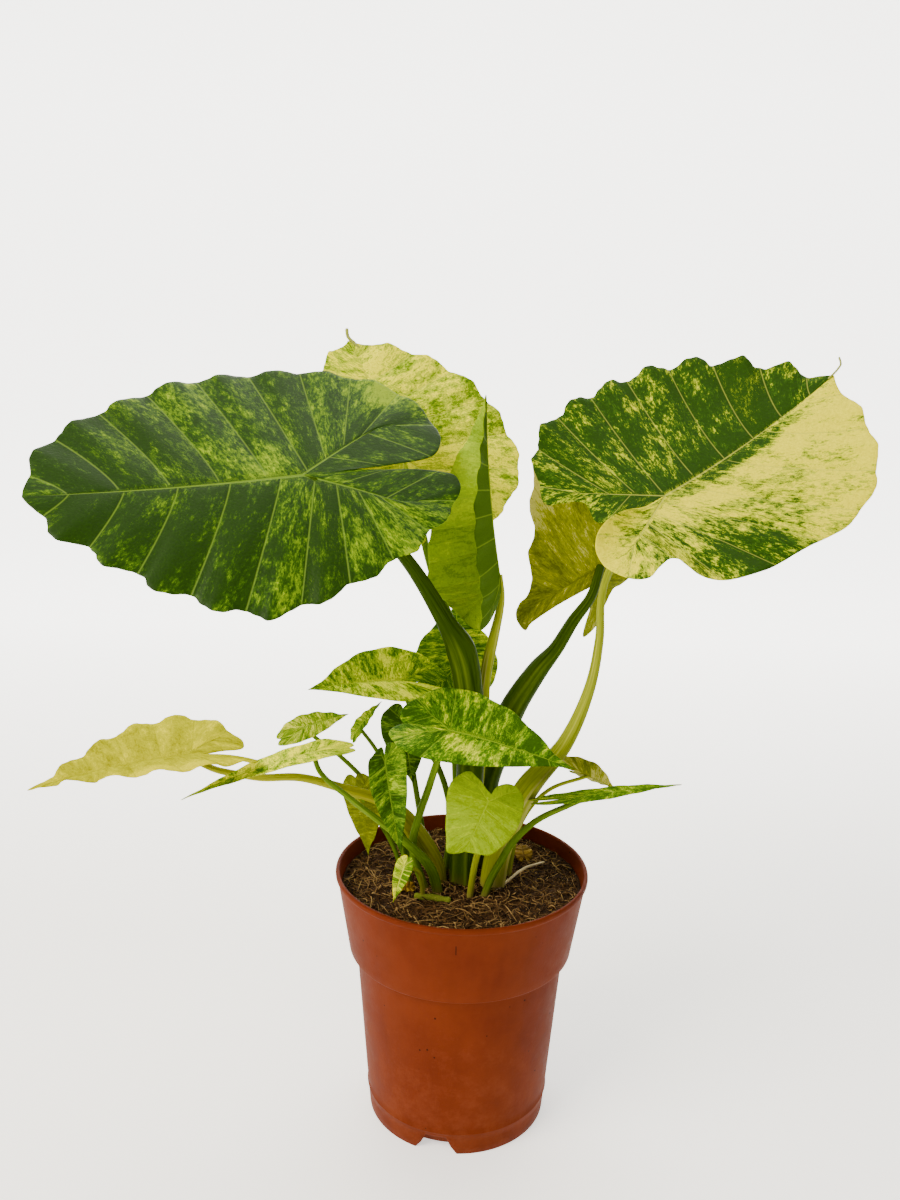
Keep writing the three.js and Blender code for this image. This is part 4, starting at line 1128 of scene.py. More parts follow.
@dataclass
class Stalk:
    """The stalk of a leaf, from the soil up to the underside of its blade.

    The points lead up to the blade, which gives the last one. sheath is how far up the
    sheath's two rims run, as a share of the stalk, and turn is where round the stalk they
    lie, in degrees. The radius is given at equal shares of the way.
    """

    blade: Blade
    stem: Stem
    points: tuple[Point, ...]
    radius: tuple[float, ...]
    sheath: float = 0.0
    turn: float = 250
    PALENESS = 0.45
    SIDES = 32
    # rings for each point of the curve, and how many of them a change of radius is evened over
    RINGS = 22
    EVENED = 9
    # rings at the top that are cut off level, and how far inside the blade's underside that is
    CUT_RINGS = 6
    SUNK = 0.2
    # the heights in mm between which the stalk browns towards the soil
    BROWN_FROM = 222
    BROWN_TO = 203
    # no stalk points this way, so the rings start square to it
    BACKWARD = (0.0, 1.0, 0.15)

    def relief(self, angle: Array, t: Array) -> tuple[Array, Array]:
        """Works out how the stalk's section departs from round.

        Each rim is a bell curve round the stalk, with a shallow hollow between the two. Five
        faint flutes and a slow swelling are on every stalk.

        Args:
            angle: the way round in radians, with a row for each ring.
            t: the share of the way up of each ring.

        Returns:
            The height of the rims, from 0 to 1, and the radius as a share of the round one.
        """
        rims = np.zeros_like(angle)
        bulge = np.ones_like(angle)
        if self.sheath:
            present = 1 - smooth(t, self.sheath - 0.12, self.sheath)
            middle = math.radians(self.turn)
            width = 0.5 * (1 - 0.6 * t / self.sheath)
            for sign in (-1, 1):
                away = np.angle(np.exp(1j * (angle - middle - sign * width[:, None])))
                rims = rims + np.exp(-(away / 0.11) ** 2) * present[:, None]
            hollow = np.angle(np.exp(1j * (angle - middle)))
            bulge = bulge - 0.1 * np.exp(-(hollow / 0.3) ** 2) * present[:, None] + 0.07 * rims
        seed = self.blade.seed
        bulge = bulge + 0.015 * np.cos(5 * angle + seed) + 0.01 * ripple(t * 25, seed)[:, None]
        return rims, bulge

    def make(self) -> bpy.types.Object:
        """Builds the stalk as rings carried along its curve, cut off level under the blade.

        Returns:
            The piece.
        """
        normal, seed = self.blade.normal, self.blade.seed
        top = np.array(self.blade.junction) - normal * (self.blade.THICKNESS / 2 - self.SUNK)
        path = np.vstack([np.array(self.points, float), top])
        t = np.linspace(0, 1, self.RINGS * len(self.points) + 1)
        centre = space_curve(path, t)
        radius = np.interp(t, np.linspace(0, 1, len(self.radius)), self.radius)
        padded = np.pad(radius, self.EVENED // 2, mode="edge")
        radius = np.convolve(padded, np.ones(self.EVENED) / self.EVENED, mode="valid")
        turn = np.arange(self.SIDES) / self.SIDES
        angle = 2 * np.pi * turn[None, :] + 0 * t[:, None]
        rims, bulge = self.relief(angle, t)
        rings = tube_rings(centre, self.BACKWARD, radius[:, None] * bulge)
        drop = (rings[-self.CUT_RINGS:] - top) @ normal
        rings[-self.CUT_RINGS:] -= np.maximum(drop, 0)[..., None] * normal
        length = np.concatenate([[0], np.cumsum(np.linalg.norm(np.diff(centre, axis=0), axis=1))])
        foot = 0.75 * (1 - smooth(rings[..., 2], self.BROWN_TO, self.BROWN_FROM))
        even = np.zeros_like(angle)
        layers = {"round": np.stack([turn + even, length[:, None] + even, self.PALENESS + even], -1),
                  "edge": np.stack([np.clip(rims, 0, 1) * 0.8, foot, seed + even], -1)}
        layers = {name: np.concatenate([layer.reshape(-1, 3), layer[0, :1], layer[-1, :1]])
                  for name, layer in layers.items()}
        points = np.concatenate([rings.reshape(-1, 3), centre[:1], rings[-1:].mean(axis=1)])
        faces = tube_faces(len(t), self.SIDES)
        return make_piece(f"{self.blade.name}_petiole_visual", points, faces, layers)


@dataclass
class Pot:
    """The nursery pot: a tapered wall with a rolled rim, a band, a foot and drain notches.

    The same driving sizes as the solid's, in mm. The profile is carried round the axis, and
    at each notch the foot's lower edge is raised.
    """

    height: float = 218
    rim_radius: float = 105
    rim_wall: float = 3.4
    lip_height: float = 5
    band_bottom: float = 149
    band_radius: float = 93.5
    band_step: float = 6.5
    foot_height: float = 19
    foot_radius: float = 75.4
    foot_top: float = 77.4
    ledge: float = 0.4
    wall: float = 2
    floor: float = 11
    floor_wall: float = 2.2
    notches: Point = (-102, 18, 138)
    notch_half_widths: Point = (17, 12.5, 9)
    notch_heights: Pair = (6.5, 14.5)
    rim_flare: float = 1.6
    inner_bevel: float = 6
    out_of_round: float = 0.25
    SEGMENTS = 480
    # the longest step up the wall, so that the quads stay even
    STEP = 6

    def band_at(self, z: float) -> float:
        """Returns the band's outer radius at height z, along a straight taper up to the lip.

        Args:
            z: height in mm.

        Returns:
            The radius in mm.
        """
        rise = self.height - self.lip_height - self.band_bottom
        taper = (self.rim_radius - self.rim_flare - self.band_radius) / rise
        return self.band_radius + taper * (z - self.band_bottom)

    def inside(self, z: float) -> float:
        """Returns the inner radius at height z, above the floor's bevel, along three straight tapers.

        Args:
            z: height in mm.

        Returns:
            The radius in mm.
        """
        step = self.band_bottom
        heights = [self.floor + self.inner_bevel, step - 3, step + 4, self.height - 1.2]
        radii = [self.foot_top - self.wall, self.band_radius - self.band_step - self.wall,
                 self.band_at(step + 4) - self.wall, self.rim_radius - self.rim_wall]
        return float(np.interp(z, heights, radii))

    def profile(self) -> Array:
        """Works out the wall's profile: up the outside, over the rim and down inside.

        It is a line from corner to corner; every rounded edge is two to four corners, a
        few tenths of a mm from the sharp one.

        Returns:
            Rows of radius and height.
        """
        foot, foot_top, ledge = self.foot_radius, self.foot_top, self.foot_height
        step, band, body = self.band_bottom, self.band_radius, self.band_radius - self.band_step
        rim, bore = self.rim_radius, self.rim_radius - self.rim_wall
        top, lip = self.height, self.height - self.lip_height
        inner, under = foot_top - self.wall, self.floor - self.floor_wall
        corners = [
            (foot - self.wall - 1, 0.15), (foot - self.wall - 0.8, 0.0), (foot - 0.3, 0.0), (foot, 0.3),
            (foot_top - 0.4, ledge), (foot_top + 0.3, ledge + 0.3), (foot_top + self.ledge, ledge + 0.8),
            (foot_top + self.ledge, ledge + 1.4), (foot_top, ledge + 2.2), (foot_top + 0.3, ledge + 8),
            (body - 0.3, step - 8), (body, step - 1.5), (body + 0.4, step - 0.5), (band - 1.2, step),
            (band - 0.3, step + 0.4), (band, step + 1.2), (self.band_at(lip - 1.2), lip - 1.2),
            (self.band_at(lip), lip), (rim - 0.6, lip + 0.6), (rim - 0.1, lip + 1.3), (rim, lip + 2.4),
            (rim - 0.1, top - 1.2), (rim - 0.5, top - 0.4), (rim - 1.2, top), (bore + 0.9, top),
            (bore + 0.3, top - 0.4), (bore, top - 1.2),
            *((self.inside(z), z) for z in (200, 170, step + 4, step - 3)),
            (inner, self.floor + self.inner_bevel), (inner - 3, self.floor), (0.05, self.floor),
            (0.05, under), (foot - self.wall - 2.2, under), (foot - self.wall - 1.6, under - 0.8),
        ]
        fine = []
        for (r0, z0), (r1, z1) in zip(corners, corners[1:] + corners[:1]):
            steps = max(1, int(math.hypot(r1 - r0, z1 - z0) / self.STEP))
            fine += [(r0 + (r1 - r0) * i / steps, z0 + (z1 - z0) * i / steps) for i in range(steps)]
        return np.array(fine)

    def notch_heights_at(self, angle: Array) -> Array:
        """Works out how high the foot's lower edge is raised at each notch.

        Every notch is a stepped outline over the way round from its middle.

        Args:
            angle: the way round in radians.

        Returns:
            The heights in mm, 0 between the notches.
        """
        low, middle, high = self.notch_half_widths
        shoulder, crown = self.notch_heights
        raised = np.zeros_like(angle)
        for notch in self.notches:
            away = np.abs(np.angle(np.exp(1j * (angle - math.radians(notch))))) * self.foot_radius
            outline = np.interp(away, [high - 1, high, middle, low, low + 0.6],
                                [crown, crown - 0.6, shoulder, 0.6, 0])
            raised = np.maximum(raised, outline)
        return raised

    def make(self) -> bpy.types.Object:
        """Builds the pot: the profile carried round the axis, with the foot cut away at the notches.

        The rim is out of round by a cosine of twice the angle, as a soft rim is, which grows
        from the band upwards.

        Returns:
            The piece.
        """
        profile = self.profile()
        angle = 2 * np.pi * np.arange(self.SEGMENTS) / self.SEGMENTS
        raised = self.notch_heights_at(angle)
        r, z = profile[:, None, 0], profile[:, None, 1]
        foot = (z < self.foot_height) & (r > self.foot_radius - self.wall - 1.5)
        height = z + np.where(foot, raised * np.clip(1 - z / self.foot_height, 0, 1), 0)
        inner_foot = (r < self.foot_radius - self.wall - 0.5) & (z < 0.5)
        floor_low = self.floor - self.floor_wall - 0.8
        height = np.where(inner_foot, np.minimum(height, floor_low + raised * 0.5), height)
        soft = self.out_of_round * smooth(z, 150, 218) * np.cos(2 * angle + 0.8)
        points = np.stack([(r + soft) * np.cos(angle), (r + soft) * np.sin(angle), height + 0 * angle], -1)
        # the profile is closed, so its first ring is named once more after its last
        quads = grid_faces(len(profile) + 1, self.SEGMENTS, closed=True) % (len(profile) * self.SEGMENTS)
        return make_piece("pot_visual", points.reshape(-1, 3), [quads[:, ::-1]], {})


@dataclass
class Soil:
    """The potting mix: an uneven plug with crumbs and coarse fibres lying on it.

    level, crown and relief are the solid's, in mm. The fibres and crumbs are drawn with a
    fixed seed.
    """

    pot: Pot
    level: float = 205.5
    crown: float = 3.5
    crown_radius: float = 45
    relief: float = 0.9
    fibres: int = 2600
    crumbs: int = 3200
    seed: int = 11
    SEGMENTS = 220
    TOP_RINGS = 90
    FIBRE_RINGS = 6
    # an uneven octahedron: its six corners and its eight faces
    CRUMB_CORNERS = ((1, 0, 0), (0, 1, 0), (-1, 0, 0), (0, -1, 0), (0, 0, 1), (0, 0, -1))
    CRUMB_FACES = ((0, 1, 4), (1, 2, 4), (2, 3, 4), (3, 0, 4), (1, 0, 5), (2, 1, 5), (3, 2, 5), (0, 3, 5))

    def height(self, x: Array, y: Array) -> Array:
        """Works out the surface's height: a low bell-shaped mound and a sum of slow sines.

        Args:
            x: places across in mm.
            y: places in depth in mm.

        Returns:
            The heights in mm.
        """
        r = np.hypot(x, y)
        mound = self.crown * np.exp(-((r / self.crown_radius) ** 2))
        crumb = np.sin(0.13 * x + 1) * np.cos(0.11 * y) + 0.5 * np.sin(0.21 * y)
        return self.level + mound + self.relief * crumb * (1 - (r / self.pot.inside(self.level)) ** 4)

    def make_plug(self) -> bpy.types.Object:
        """Builds the plug: rings down the wall, and a top with clods a few mm across.

        The clods are products of sines whose phases are sines again, so that none repeats.

        Returns:
            The piece.
        """
        pot = self.pot
        angle = 2 * np.pi * np.arange(self.SEGMENTS) / self.SEGMENTS
        wall_z = np.array([pot.floor + pot.inner_bevel, pot.band_bottom - 3, pot.band_bottom + 4, 190.0])
        wall_r = np.array([pot.inside(z) - 0.35 for z in wall_z])
        top_r = (pot.inside(self.level) - 0.3) * (1 - np.linspace(0, 0.995, self.TOP_RINGS))
        radii = np.concatenate([wall_r, top_r])
        x, y = radii[:, None] * np.cos(angle), radii[:, None] * np.sin(angle)
        clods = np.sin(0.9 * x + 2 * np.sin(0.7 * y)) * np.sin(0.8 * y + 1.5 * np.sin(0.6 * x))
        lumps = np.sin(2.1 * x + 3 * np.sin(1.3 * y)) * np.sin(1.9 * y + 2 * np.sin(1.7 * x))
        z = self.height(x, y) + 0.7 * (clods + 0.6 * lumps) - 0.5
        z[:len(wall_z)] = wall_z[:, None]
        middle = self.height(np.zeros(1), np.zeros(1))[0]
        points = np.stack([x, y, z], -1).reshape(-1, 3)
        points = np.concatenate([points, [[0, 0, wall_z[0]], [0, 0, middle]]])
        shade = 0.22 + 0.1 * ripple(points[:, 0] * 0.3 + points[:, 1] * 0.23, 2.0)
        return make_tinted("soil_visual", points, tube_faces(len(radii), self.SEGMENTS), shade)

    def scatter(self, rng: np.random.Generator, count: int, inset: float) -> tuple[Array, Array]:
        """Draws places on the mix: a root of a random share gives the radius, so they lie evenly.

        Args:
            rng: the source of the random numbers.
            count: how many places.
            inset: how far they stay from the wall, in mm.

        Returns:
            The places' x and y in mm.
        """
        r = (self.pot.inside(self.level) - inset) * np.sqrt(rng.random(count))
        place = rng.random(count) * 2 * np.pi
        return r * np.cos(place), r * np.sin(place)

    def make_fibres(self) -> bpy.types.Object:
        """Builds the fibres: bent three-sided bars, 5 to 30 mm long, that lie on the crumbs.

        A fibre's heading turns evenly along it. It rises in a parabola and thins to its ends.

        Returns:
            The piece.
        """
        rng = np.random.default_rng(self.seed)
        n, steps = self.fibres, self.FIBRE_RINGS
        middle_x, middle_y = self.scatter(rng, n, 4)
        heading = rng.random(n) * 2 * np.pi
        length = 5 + 25 * rng.random(n) ** 2.2
        bend = rng.normal(0, 0.9, n)
        width = 0.16 + 0.38 * rng.random(n) ** 2
        t = np.linspace(-0.5, 0.5, steps)
        turn = heading[:, None] + bend[:, None] * t
        x = middle_x[:, None] + length[:, None] * t * np.cos(turn)
        y = middle_y[:, None] + length[:, None] * t * np.sin(turn)
        over = np.maximum(np.hypot(x, y) / (self.pot.inside(self.level) - 1.2), 1)
        x, y = x / over, y / over
        hump = rng.random(n)[:, None] ** 3 * 4.0 * (1 - (2 * t) ** 2) + rng.random(n)[:, None] * 0.9
        z = self.height(x, y) + hump - 0.2
        taper = width[:, None] * (1 - 0.7 * np.abs(2 * t) ** 3)
        spin = (2 * np.pi * np.arange(3) / 3 + heading[:, None])[:, None]
        across, up = taper[..., None] * np.cos(spin), taper[..., None] * np.sin(spin)
        points = np.stack([x[..., None] - np.sin(turn)[..., None] * across,
                           y[..., None] + np.cos(turn)[..., None] * across, z[..., None] + up], -1)
        caps = np.array([[2, 1, 0], [3 * steps - 3, 3 * steps - 2, 3 * steps - 1]])
        faces = [repeat_faces(quads, n, steps * 3) for quads in (grid_faces(steps, 3, closed=True), caps)]
        tint = np.repeat(0.25 + 0.75 * rng.random(n) ** 1.3, steps * 3)
        return make_tinted("soil_fibres", points.reshape(-1, 3), faces, tint)

    def make_crumbs(self) -> bpy.types.Object:
        """Builds the crumbs: octahedra with uneven corners, 0.6 to 5 mm across, partly sunk.

        Each corner has its own random reach, and each crumb its own size, turn and lean.

        Returns:
            The piece.
        """
        rng = np.random.default_rng(self.seed + 1)
        n, corners = self.crumbs, np.array(self.CRUMB_CORNERS, float)
        x, y = self.scatter(rng, n, 3)
        size = 0.5 + 1.3 * rng.random(n) ** 3
        shape = corners[None] * (0.6 + 0.7 * rng.random((n, len(corners), 1)))
        spin = rng.random(n) * 2 * np.pi
        cos, sin = np.cos(spin)[:, None], np.sin(spin)[:, None]
        lean = rng.normal(0, 0.5, (n, 1))
        px = shape[..., 0] * cos - shape[..., 1] * sin + lean * shape[..., 2]
        py = shape[..., 0] * sin + shape[..., 1] * cos
        points = np.stack([x[:, None] + size[:, None] * px, y[:, None] + size[:, None] * py,
                           self.height(x, y)[:, None] + size[:, None] * (shape[..., 2] + 0.25)], -1)
        faces = repeat_faces(np.array(self.CRUMB_FACES), n, len(corners))
        tint = np.repeat(0.05 + 0.6 * rng.random(n) ** 2, len(corners))
        return make_tinted("soil_crumbs", points.reshape(-1, 3), [faces], tint)


@dataclass
class Twig:
    """A dead root, a cut stalk or a dried leaf tip: a bar along a curve with shrunken ends."""

    name: str
    points: tuple[Point, ...]
    radius: float
    tint: float
    WRINKLE = 0.08
    RINGS = 60
    SIDES = 16
    UP = (0.0, 0.0, 1.0)

    def make(self) -> bpy.types.Object:
        """Builds the bar: a tube with dents by two sines.

        Its ends close by the root of one less a high power of the way from the middle.

        Returns:
            The piece.
        """
        t = np.linspace(0, 1, self.RINGS)
        centre = space_curve(np.array(self.points, float), t)
        angle = 2 * np.pi * np.arange(self.SIDES) / self.SIDES
        wrinkles = np.sin(3 * angle + 14 * t[:, None]) + np.sin(5 * angle - 31 * t[:, None])
        dents = 1 + self.WRINKLE * wrinkles
        closing = np.sqrt(np.clip(1 - (2 * t - 1) ** 24, 0.02, 1))[:, None]
        rings = tube_rings(centre, self.UP, self.radius * dents * closing)
        points = np.concatenate([rings.reshape(-1, 3), centre[:1], centre[-1:]])
        faces = tube_faces(self.RINGS, self.SIDES)
        return make_tinted(f"{self.name}_visual", points, faces, np.full(len(points), self.tint))


@dataclass
class Plant:
    """The nineteen leaves, with the sizes that each blade and stalk is worked out from.

    Every leaf is given as its name, the finish of its blade and of its stalk, where the stalk
    leaves the mix, the points that the stalk then passes, its radii, and the blade's sizes.
    """

    leaves: list[tuple[Blade, Stalk]] = field(default_factory=list)
    # the height at which the stalks end in the mix
    STALK_FOOT = 195

    def add(self, name: str, finish: Leaf, stem: Stem, foot: Pair, points: tuple[Point, ...],
            radius: tuple[float, ...], sheath: float = 0.0, turn: float = 250, **sizes) -> None:
        """Adds a leaf.

        Args:
            name: the leaf's name.
            finish: the finish of its blade.
            stem: the finish of its stalk.
            foot: x and y of the stalk's lower end.
            points: the points that the stalk passes on its way to the blade.
            radius: the stalk's radius at equal shares of the way.
            sheath: how far up the sheath runs.
            turn: where round the stalk the sheath's rims lie, in degrees.
            sizes: the blade's other sizes.
        """
        blade = Blade(name, finish, seed=float(len(self.leaves) + 1), **sizes)
        stalk = Stalk(blade, stem, ((*foot, self.STALK_FOOT), *points), radius, sheath, turn)
        self.leaves.append((blade, stalk))

    def add_large_leaves(self) -> None:
        """Adds the five leaves that stand above the rest."""
        self.add("left_leaf", Leaf.DARK, Stem.DARK, (1, -6), ((1, -6, 240), (5, -5, 305), (2, -6, 374),
                 (-5, -9, 408), (-17, -13, 431), (-49, -29, 485), (-88, -44, 526)),
                 (11, 11, 11, 11.3, 12, 7.5, 5, 4, 4), sheath=0.62, turn=285, junction=(-123, -50, 548),
                 tip=(-304, -112, 536), faces=(0.21, -0.62, 0.76), half=109, lobe=118, arch=-7,
                 lobe_arch=12, fold=(-3, -1), roll=(-12, 0),
                 outline=(Outline.NEAR_OVAL, Outline.FAR_OVAL), ruffle=(2.2, 1.1), wave=1.0, bays=10,
                 large=True, quilt=1.7, curl=1.2, rib=1.0, paleness=(0.34, 0.375),
                 patches=(Patch(0.85, -0.3, 0.25, 0.5, -0.1), Patch(-0.9, -0.62, 0.18, 0.2, 0.1),
                 Patch(-0.6, 0.6, 0.3, 0.3, 0.12), Patch(0.12, -0.12, 0.12, 0.14, 0.2),
                 Patch(0.35, -0.8, 0.25, 0.2, 0.14), Patch(0.8, 0.4, 0.4, 0.5, -0.12),
                 Patch(-0.7, -0.76, 0.26, 0.17, 0.42)))
        self.add("right_leaf", Leaf.CREAM, Stem.PALE, (24, -10), ((31, -14, 244), (50, -14, 293),
                 (80, -12, 333), (98, -7, 378), (105, 3, 415), (107, 13, 454), (123, 18, 495)),
                 (10.5, 10.5, 10, 6.5, 4.4, 3.6, 2.9, 3, 3.5), sheath=0.4, turn=240,
                 junction=(150, 5, 532), tip=(295, 80, 625), faces=(-0.08, -0.55, 0.83), half=113,
                 lobe=100, arch=-17, lobe_arch=10, fold=(1, 0), roll=(12, -4),
                 outline=(Outline.UPPER_SHIELD, Outline.LOWER_SHIELD), ruffle=(2.6, 0.7), wave=1.0,
                 bays=9, large=True, quilt=1.1, curl=1.2, rib=0.9, lip=(0, 15), paleness=(0.31, 0.84),
                 patches=(Patch(0.4, -0.06, 0.45, 0.07, -0.5), Patch(-0.02, -0.66, 0.4, 0.38, -0.45),
                 Patch(-0.5, -0.28, 0.24, 0.2, -0.32), Patch(-0.74, -0.46, 0.12, 0.09, -0.4),
                 Patch(-0.45, 0.45, 0.3, 0.4, 0.05), Patch(0.45, 0.08, 0.5, 0.12, -0.12),
                 Patch(-0.05, -0.95, 0.3, 0.12, -0.3)))
        self.add("back_leaf", Leaf.BACK, Stem.GREEN, (-12, 19), ((0, 27, 292), (-5, 29, 353),
                 (-10, 31, 405), (-22, 34, 438), (-33, 38, 470), (-45, 42, 515)),
                 (6.5, 6, 5.5, 5, 4, 3.2, 3, 3), junction=(-55, 48, 551), tip=(-109, 118, 645),
                 faces=(0.36, -0.67, 0.64), half=(56, 114), lobe=74, arch=7, lobe_arch=12, fold=0,
                 roll=(-10, -7), outline=Outline.MATURE, ruffle=1.6, wave=1.0, bays=8, large=True,
                 quilt=1.0, curl=1.2, rib=0.9, paleness=(0.57, 0.6))
        self.add("rear_leaf", Leaf.OLIVE, Stem.DARK, (19, 25), ((20, 29, 280), (31, 29, 318),
                 (38, 31, 344), (59, 36, 379), (74, 41, 397), (88, 49, 419), (102.5, 55, 439)),
                 (9, 9.5, 10.5, 11, 8.8, 6, 5.2, 4.2, 3.6), sheath=0.62, turn=280,
                 junction=(112, 76, 461), tip=(148, 112, 573), faces=(0.05, 0.9, 0.3), half=(60, 100),
                 lobe=(62, 73), arch=20, lobe_arch=-15, fold=(42, 0), roll=(0, -10),
                 outline=(Outline.TUCKED, Outline.FLARED), ruffle=1.8, wave=1.2, bays=7, large=True,
                 quilt=1.2, curl=1.2, rib=1.0, paleness=(0.45, 0.5),
                 patches=(Patch(0.1, -0.8, 0.6, 0.16, 0.4),))
        self.add("rolled_leaf", Leaf.ROLLED, Stem.PALE, (4, 15), ((11, 15, 298), (13, 13, 342),
                 (15, 12, 375), (17, 11, 393), (21, 9, 414), (26, 7, 446)),
                 (6.5, 6.5, 6, 4.5, 4.8, 4.2, 2.8, 2.3), sheath=0.7, turn=300, junction=(24, 5, 466),
                 tip=(10, 30, 605), faces=(-0.9, -0.25, 0.1), half=(57, 30), lobe=50, arch=10,
                 lobe_arch=-40, fold=(60, 40), roll=(10, 20), outline=(Outline.DRAWN, Outline.HANGING),
                 ruffle=1, wave=0.8, bays=9, large=True, quilt=0.8, curl=0.8, rib=0.9,
                 paleness=(0.6, 0.3))

    def add_small_leaves(self) -> None:
        """Adds the young leaves of the offsets, near the pot."""
        # the middle and inner leaves wear the marbled finish with painted light, paler than their own colour
        # because they lie in shade
        self.add("middle_leaf", Leaf.BRIGHT, Stem.GREEN, (-14, 5), ((-9, 11, 245), (-14, 10, 279),
                 (-22, 10, 302), (-33, 11, 322), (-44, 13, 347)), (2.6, 2.6, 2.6, 2.5, 2.4, 2.3, 2.2),
                 junction=(-53, 15, 373), tip=(-125, -20, 375), faces=(-0.05, -0.45, 1), half=38,
                 lobe=(42, 48), arch=14, fold=14, roll=-5, paleness=(0.54, 0.47),
                 patches=(Patch(0.2, 0.1, 0.4, 0.25, 0.14), Patch(0.1, 0.75, 0.8, 0.2, 0.12)))
        self.add("inner_leaf", Leaf.BRIGHT, Stem.GREEN, (0, 31), ((-8, 50, 283), (-9, 58, 317)),
                 (2.6, 2.6, 2.6, 2.4), junction=(-8, 64, 375), tip=(-11, 99, 420), faces=(0, -0.85, 0.5),
                 half=(38, 34), lobe=31, arch=18, fold=5, roll=-5, paleness=0.42)
        self.add("front_leaf", Leaf.MARBLED, Stem.GREEN, (-26, -19), ((-40, -26, 246), (-35, -34, 277),
                 (-28, -43, 303), (-21, -55, 331)), (3.4, 3.3, 3.1, 3, 2.7, 2.4),
                 junction=(-12, -66, 361), tip=(79, -91, 343), faces=(0, -0.45, 1), half=40, lobe=44,
                 arch=10, fold=13, roll=-6, outline=Outline.CLOSED, paleness=(0.35, 0.38),
                 patches=(Patch(0.12, -0.45, 0.14, 0.3, 0.26), Patch(-0.4, -0.4, 0.3, 0.4, 0.1)))
        self.add("hanging_leaf", Leaf.SOFT, Stem.GREEN, (-40, -13), ((-49, -28, 250), (-56, -38, 286),
                 (-61, -45, 312)), (2.4, 2.4, 2.2, 2, 2), junction=(-61, -50, 328), tip=(-47, -62, 257),
                 faces=(-0.3, -0.9, 0.3), half=(25, 14), lobe=21, arch=12, fold=25, roll=5,
                 outline=(Outline.FOLDED_WIDE, Outline.FOLDED_SLIM), paleness=(0.37, 0.4))
        self.add("lime_leaf", Leaf.LIME, Stem.PALE, (6, -28), ((11, -42, 244), (19, -53, 280)),
                 (2.6, 2.6, 2.4, 2.2), junction=(19, -62, 303), tip=(3, -68, 266),
                 faces=(0.05, -1, 0.25), half=(30, 28), lobe=27, arch=10, fold=0, roll=-8,
                 outline=(Outline.ROUNDED, Outline.CORNERED), paleness=0.5)
        self.add("yellow_leaf", Leaf.YELLOW, Stem.YELLOW, (-18, -8), ((-22, -9, 222), (-35, -12, 247),
                 (-49, -17, 269), (-63, -25, 284), (-94, -36, 299), (-130, -30, 305), (-162, -25, 302),
                 (-179, -25, 304), (-195, -34, 311), (-205, -47, 322)),
                 (7, 7.5, 8.5, 7, 5, 3.8, 3.2, 3, 2.8, 2.6, 2.5, 2.3), sheath=0.32, turn=270,
                 junction=(-213, -55, 331), tip=(-316, -108, 321), faces=(0, -0.02, 1), half=56, lobe=49,
                 arch=14, fold=12, roll=0, ruffle=(2.5, 1.5), wave=2.4, bays=6, quilt=1.7, curl=0.8,
                 paleness=(0.45, 0.5), patches=(Patch(0.3, 0.9, 0.7, 0.25, 0.4),))
        self.add("narrow_leaf", Leaf.BACK, Stem.GREEN, (-17, -24), ((-25, -33, 231), (-45, -42, 258),
                 (-65, -45, 276), (-87, -48, 295), (-112, -45, 316)), (4.3, 4.2, 3.3, 2.8, 2.3, 2, 2),
                 junction=(-118, -42, 331), tip=(-217, -62, 297), faces=(0.05, -0.02, 1), half=(28, 20),
                 lobe=33, arch=14, fold=(8, 0), roll=5, outline=Outline.CLOSED, paleness=(0.44, 0.58))
        self.add("little_leaf", Leaf.MATT, Stem.GREEN, (-38, 6), ((-54, 0, 246), (-77, -4, 288),
                 (-101, -3, 313), (-123, -1, 329)), (2.2, 2.2, 2, 1.8, 1.6, 1.6),
                 junction=(-131, 0, 336), tip=(-96, 8, 346), faces=(0, -0.35, 1), half=16, lobe=25,
                 arch=8, fold=5, roll=-5, outline=Outline.CLOSED, paleness=(0.5, 0.54))
        self.add("tiny_leaf", Leaf.MATT, Stem.GREEN, (-36, 16), ((-52, 8, 252), (-70, 0, 314)),
                 (2, 2, 1.7, 1.5), junction=(-85, -10, 341), tip=(-68, -5, 362),
                 faces=(-0.55, -0.3, 0.75), half=10, lobe=13, arch=10, fold=8, roll=0,
                 outline=Outline.CLOSED, paleness=0.45)
        self.add("olive_leaf", Leaf.OLIVE, Stem.GREEN, (-46, -4), ((-56, -12, 238), (-71, -14, 266)),
                 (2, 2, 1.8, 1.6), junction=(-84, -12, 283), tip=(-76, -26, 238), faces=(0.35, 0.8, 0.3),
                 half=20, lobe=19, arch=10, fold=8, roll=0, outline=Outline.CLOSED, paleness=0.35)
        self.add("soil_leaf", Leaf.BACK, Stem.PALE, (-30, -34), ((-34, -42, 232),), (1.8, 1.8, 1.5),
                 junction=(-45, -55, 243), tip=(-53, -62, 216), faces=(-0.3, -0.8, 0.4), half=(9, 7),
                 lobe=9, arch=10, fold=25, roll=0, outline=Outline.CLOSED, paleness=(0.35, 0.6))
        self.add("low_leaf", Leaf.MATT, Stem.GREEN, (16, -28), ((23, -32, 221), (31, -35, 240),
                 (40, -37, 258), (58, -37, 277), (83, -35, 290)), (3.2, 3.2, 3, 2.8, 2.5, 2.2, 2),
                 junction=(102, -30, 297), tip=(173, -25, 306), faces=(0.05, 0.27, 0.96), half=32,
                 lobe=50, arch=4, lobe_arch=-4, fold=3, roll=-4, paleness=0.42)
        self.add("pale_leaf", Leaf.OLIVE, Stem.PALE, (38, 4), ((49, 14, 252), (71, 20, 279)),
                 (2, 2, 1.7, 1.5), junction=(104, 25, 291), tip=(127, 18, 283), faces=(0.3, 0.5, 0.5),
                 half=(16, 20), lobe=(16, 36), arch=8, fold=15, roll=0, paleness=0.6)
